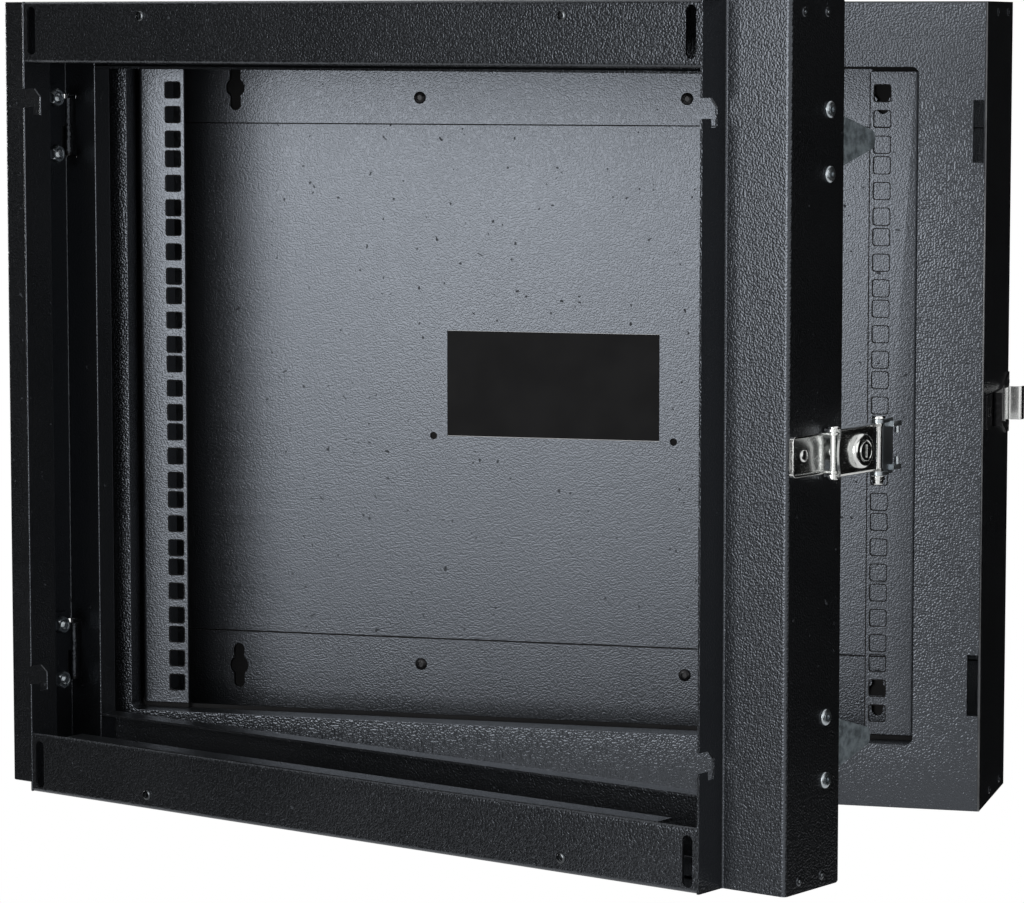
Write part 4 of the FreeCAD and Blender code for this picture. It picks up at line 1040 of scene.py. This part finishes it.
@dataclass
class SwingFrame(Assembly):
    """The hinged front frame's hardware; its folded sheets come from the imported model."""

    hinge: Pair = (-296.0, -107.5)
    open_angle: float = math.radians(22.2)
    faces: Pair = (-4.0, 596.0)
    bolt_depth: float = -14.0
    bolt_heights: tuple[float, ...] = (-189.0, -153.0, 153.0, 189.0)
    bolt_shanks: Pair = (11.0, 10.5)
    nut_faces: Pair = (0.5, 592.0)
    rivet: Rivet = (2.8, 0.8, 3.8)
    rivet_depths: Pair = (-17.0, -40.0)
    rivet_height: float = 243.0
    screw_places: Pair = (135.0, 457.0)
    screw_height: float = 241.0
    screw_profile: tuple[Ring, ...] = (
        (1.6, -9.0), (1.8, -8.4), (1.8, 0.0), (3.2, 0.0), (3.2, 0.7), (2.9, 1.2), (2.2, 1.55),
        (1.5, 1.6, 1.0), (1.4, 0.6, 1.0))
    screw_sides: int = 36
    front: float = -77.0
    tray_rivet: Rivet = (3.5, 1.2, 4.2)
    tray_rivet_depths: Pair = (-40.0, -11.0)
    tray_floor: float = 597.5
    hasp_level: float = -2.5
    folds: tuple[Fold, ...] = (
        Fold("stile_left", Body.FRAME, Slot.COAT, 0.6, clamp=False),
        Fold("stile_right", Body.FRAME, Slot.COAT, 0.6),
        Fold("top_rail", Body.FRAME, Slot.COAT, 0.6),
        Fold("bottom_rail", Body.FRAME, Slot.COAT, 0.6))

    def way(self, x: float, y: float) -> np.ndarray:
        """Turn a flat direction (x, y) drawn on the frame to (x cos a + y sin a, y cos a - x sin a)."""
        cos, sin = math.cos(self.open_angle), math.sin(self.open_angle)
        return np.array([x * cos + y * sin, y * cos - x * sin, 0.0])

    def row(self, spots: Sequence[Point]) -> np.ndarray:
        """Turn places drawn about the hinge, by the angle at which the frame stands open."""
        return np.array([self.way(x, y) + (*self.hinge, z) for x, y, z in spots])

    def flanked(self, shapes: Sequence[Shell], faces: Pair, places: Sequence[Pair], out: int = 1) -> Shell:
        """Copies of two shapes on the frame's left and right sides.

        Args:
            shapes: Shape for the left side and shape for the right side.
            faces: Where those sides lie across the frame.
            places: Depth and height of each copy.
            out: One if the shapes point outwards, minus one if they point inwards.

        Returns:
            All the copies as one set of shells.
        """
        sides = zip(shapes, faces, BOTH)
        return Shell.joined([shape.placed(self.row([(x, y, z) for y, z in places]), self.way(out * side, 0))
                             for shape, x, side in sides])

    def build(self) -> None:
        """Add bolts, nuts, rivets and screws, and soften the folded sheets."""
        self.bolts()
        self.rivets()
        self.screws()
        self.soften(self.folds)

    def bolts(self) -> None:
        """Button-head bolts in both uprights, with nuts inside."""
        places = [(self.bolt_depth, z) for z in self.bolt_heights]
        shapes = [self.shape.button_bolt(shank) for shank in self.bolt_shanks]
        bolts = self.flanked(shapes, self.faces, places)
        self.add("frame_bolt_heads", bolts, Body.FRAME, Slot.ZINC, "frame_bolts")
        nuts = self.flanked([self.shape.nut()] * 2, self.nut_faces, places, -1)
        self.add("frame_hex_nuts", nuts, Body.FRAME, Slot.ZINC, "frame_nuts")

    def rivets(self) -> None:
        """Painted pull rivets of the corner gussets with their bright pins, and the tray's domed rivets."""
        places = [(y, level * self.rivet_height) for y in self.rivet_depths for level in BOTH]
        domes = self.flanked([self.shape.pull_rivet(*self.rivet)] * 2, self.faces, places)
        self.add("frame_rivet_domes", domes, Body.FRAME, Slot.COAT, "frame_rivets")
        pins = self.flanked([self.shape.pulled_pin(self.rivet[1])] * 2, self.faces, places)
        self.add("frame_rivet_pins", pins, Body.FRAME, Slot.ZINC)
        spots = self.row([(self.tray_floor, y, self.hasp_level) for y in self.tray_rivet_depths])
        domes = self.shape.dome_rivet(*self.tray_rivet).placed(spots, self.way(1, 0))
        self.add("tray_rivet_domes", domes, Body.FRAME, Slot.CHROME, "tray_rivets")

    def screws(self) -> None:
        """Small cross-rail screws in the front face."""
        spots = self.row([(x, self.front, level * self.screw_height)
                          for x in self.screw_places for level in BOTH])
        heads = Shell.turned(self.screw_profile, self.screw_sides).placed(spots, self.way(0, -1))
        self.add("face_screw_heads", heads, Body.FRAME, Slot.ZINC, "face_screws")


@dataclass
class Hasp(Assembly):
    """The keyed hasp and the guide tongues: turned pieces made anew, folded ones with broken arrises."""

    swing: SwingFrame
    pivot: Pair = (601.5, -16.0)
    pivot_profile: tuple[Ring, ...] = (
        (2.6, -15.0), (3.2, -14.5), (3.2, -13.6), (2.0, -13.6), (2.0, 13.6), (3.2, 13.6), (3.2, 14.5),
        (2.6, 15.0))
    pivot_sides: int = 40
    hook: Pair = (604.0, 26.0)
    rod_profile: tuple[Ring, ...] = (
        (2.6, -21.2), (3.2, -20.7), (3.3, -18.8), (3.9, -18.6), (4.0, -18.2), (4.0, -16.5), (3.7, -16.2),
        (2.5, -16.2), (2.5, 16.2), (3.7, 16.2), (4.0, 16.5), (4.0, 17.3), (3.6, 17.9))
    lock: Pair = (607.0, 3.0)
    bezel_foot: tuple[Ring, ...] = ((8.0, -4.0), (8.0, 0.0), (10.0, 0.0))
    bezel_ring: Pair = (7.4, 1.0)
    bezel_round: float = 2.6
    bezel_bore: tuple[Ring, ...] = ((6.3, 3.6), (5.85, 3.25), (5.56, 3.1), (5.56, -4.0))
    bezel_sides: int = 64
    folds: tuple[Fold, ...] = (
        Fold("hasp_lever", Body.ARM, Slot.CHROME, 0.55),
        Fold("lock_plug", Body.CORE, Slot.CHROME, 0.35),
        Fold("hasp_fork", Body.FORK, Slot.ZINC, 0.4),
        Fold("hasp_tray", Body.FRAME, Slot.CHROME, 0.55),
        Fold("tongue_upper", Body.FRAME, Slot.ZINC, 0.3),
        Fold("tongue_lower", Body.FRAME, Slot.ZINC, 0.3))

    def spot(self, place: Pair) -> np.ndarray:
        """A place on the frame at the hasp's height."""
        return self.swing.row([(*place, self.swing.hasp_level)])

    def build(self) -> None:
        """Add pivot, rod and bezel, and soften the folded pieces."""
        pin = Shell.turned(self.pivot_profile, self.pivot_sides).placed(self.spot(self.pivot), UP)
        self.add("hasp_pivot_pin", pin, Body.FRAME, Slot.CHROME, "hasp_pivot")
        rod = Shell.turned(self.rod_profile).placed(self.spot(self.hook), UP)
        self.add("hasp_draw_rod", rod, Body.ARM, Slot.CHROME, "hasp_rod")
        middle, low = self.bezel_ring
        rounding = dome(middle, self.bezel_round, low, self.bezel_round, math.pi / 2, 9)
        bezel = Shell.turned([*self.bezel_foot, *rounding, *self.bezel_bore], self.bezel_sides, True)
        bezel = bezel.placed(self.spot(self.lock), self.swing.way(1, 0))
        self.add("lock_bezel", bezel, Body.ARM, Slot.CHROME, "lock_housing")
        self.soften(self.folds)


@dataclass(frozen=True)
class Lamp:
    """A square softbox that faces the rack, in metres and watts."""

    name: str
    place: Point
    size: float
    power: float

    def build(self) -> None:
        """Hang the lamp, tilted and turned towards the rack's middle."""
        light = bpy.data.lights.new(self.name, "AREA")
        light.size = self.size
        light.energy = self.power
        thing = linked(self.name, light)
        thing.location = self.place
        x, y, z = self.place
        thing.rotation_euler = (math.pi / 2 + math.atan2(-z, math.hypot(x, y)), 0.0, math.atan2(x, -y))


@dataclass
class Studio:
    """Pale floor, soft light, dark screens off the picture and the camera, in metres and degrees."""

    floor_level: float = -0.62
    floor_radius: float = 1.1
    floor_sides: int = 96
    floor_tones: Pair = (0.82, 0.84)
    floor_grain: float = 0.4
    floor_roughness: float = 0.9
    floor_specular: float = 0.1
    floor_seen: float = 0.7
    world_fill: float = 0.22
    lamps: tuple[Lamp, ...] = (
        Lamp("key softbox", (-0.58, -1.75, 0.28), 1.0, 22.5),
        Lamp("side softbox", (1.9, -1.1, 0.5), 1.4, 9.0),
        Lamp("rim softbox", (-2.1, 0.75, 0.3), 0.5, 10.0),
        Lamp("rear softbox", (-1.5, 2.0, 1.5), 1.4, 8.0))
    screens: tuple[Pair, ...] = ((45.0, 200.0), (-160.0, -28.0))
    screen_radius: float = 3.1
    screen_heights: Pair = (-1.6, 2.6)
    screen_grid: tuple[int, int] = (33, 5)
    cloth_tones: Pair = (0.008, 0.014)
    cloth_weave: float = 0.01
    cloth_roughness: float = 0.95
    camera_place: Point = (0.694, -2.625, 0.237)
    camera_pitch: float = -5.90
    camera_yaw: float = 15.38
    focal_pixels: float = 4150.0
    photo_width: int = 1024
    sensor_mm: float = 36.0

    def build(self) -> None:
        """Set up floor, world, screens, lamps and camera."""
        self.floor()
        self.world()
        for number, (start, end) in enumerate(self.screens):
            self.screen("dark_screen_%d" % number, start, end)
        for lamp in self.lamps:
            lamp.build()
        self.camera()
        bpy.context.scene.view_settings.view_transform = "Standard"

    def floor(self) -> None:
        """Lay a plain pale disc under the rack, nearly white to the eye but for the rack's shadow."""
        turn = np.arange(self.floor_sides) * (2.0 * np.pi / self.floor_sides)
        rim = np.stack([self.floor_radius * np.cos(turn), self.floor_radius * np.sin(turn),
                        np.full_like(turn, self.floor_level)], axis=1)
        thing = meshed("floor", rim, [list(range(self.floor_sides))])
        graph = Graph.material("pale floor")
        dark, pale = self.floor_tones
        tone = graph.blend(graph.noise(self.floor_grain), (dark,) * 3, (pale,) * 3)
        matt = graph.node("ShaderNodeBsdfPrincipled", None,
                          {"Base Color": tone, "Roughness": self.floor_roughness,
                           "Specular IOR Level": self.floor_specular})["BSDF"]
        glow = graph.node("ShaderNodeEmission", None, {"Color": WHITE, "Strength": 1.0})["Emission"]
        mixed = graph.node("ShaderNodeMixShader", None,
                           {0: self.floor_seen * graph.seen(), 1: matt, 2: glow})
        graph.node("ShaderNodeOutputMaterial", None, {"Surface": mixed["Shader"]})
        thing.data.materials.append(graph.owner)

    def world(self) -> None:
        """White to the eye and in reflections, weak as a light."""
        world = bpy.data.worlds.new("studio")
        bpy.context.scene.world = world
        graph = Graph(world)
        dim, white = [graph.node("ShaderNodeBackground", None, {"Color": WHITE, "Strength": strength})
                      for strength in (self.world_fill, 1.0)]
        mixed = graph.node("ShaderNodeMixShader", None,
                           {0: graph.seen(), 1: dim["Background"], 2: white["Background"]})
        graph.node("ShaderNodeOutputWorld", None, {"Surface": mixed["Shader"]})

    def screen(self, name: str, start: float, end: float) -> None:
        """Hang a dark curved cloth upright round the rack, out of the camera's sight.

        The point at the angle t from the front, to the right, and at the height h lies at
        (R sin t, -R cos t, h), where R is the screens' radius.

        Args:
            name: Name of the screen.
            start: First angle in degrees.
            end: Last angle in degrees.
        """
        across, up = self.screen_grid
        turn, high = np.meshgrid(np.radians(np.linspace(start, end, across)),
                                 np.linspace(*self.screen_heights, up), indexing="ij")
        radius = self.screen_radius
        points = np.stack([radius * np.sin(turn), -radius * np.cos(turn), high], axis=-1)
        index = np.arange(turn.size).reshape(turn.shape)
        quads = np.stack([index[:-1, :-1], index[1:, :-1], index[1:, 1:], index[:-1, 1:]], axis=-1)
        thing = meshed(name, points.reshape(-1, 3), quads.reshape(-1, 4).tolist())
        graph = Graph.material(name + " cloth")
        dark, pale = self.cloth_tones
        tone = graph.blend(graph.noise(self.cloth_weave), (dark,) * 3, (pale,) * 3)
        cloth = graph.surface({"Base Color": tone, "Roughness": self.cloth_roughness,
                               "Specular IOR Level": 0.0})
        thing.data.materials.append(cloth)
        thing.visible_camera = False

    def camera(self) -> None:
        """Stand the camera where the photograph was taken."""
        lens = bpy.data.cameras.new("camera")
        lens.sensor_width = self.sensor_mm
        lens.lens = self.focal_pixels * self.sensor_mm / self.photo_width
        thing = linked("camera", lens)
        thing.location = self.camera_place
        thing.rotation_euler = (math.radians(90.0 + self.camera_pitch), 0.0, math.radians(self.camera_yaw))
        bpy.context.scene.camera = thing


def dress_nodes(frame: dict[str, Any], palette: Palette) -> None:
    """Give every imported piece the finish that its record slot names.

    Args:
        frame: What the loader returned.
        palette: The finishes.
    """
    for row in frame["record"]["subparts"]:
        palette.paint(frame["nodes"][row["node"]], Slot(row["material_slot"]))
        LOG.info("dressed %s", row["node"])


def main() -> None:
    """Build the scene piece by piece."""
    logging.basicConfig(level=logging.INFO, format="%(message)s")
    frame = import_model()
    palette = Palette()
    dress_nodes(frame, palette)
    WallBox(frame, palette).build()
    swing = SwingFrame(frame, palette)
    swing.build()
    Hasp(frame, palette, swing).build()
    Studio().build()


if __name__ == "__main__":
    main()
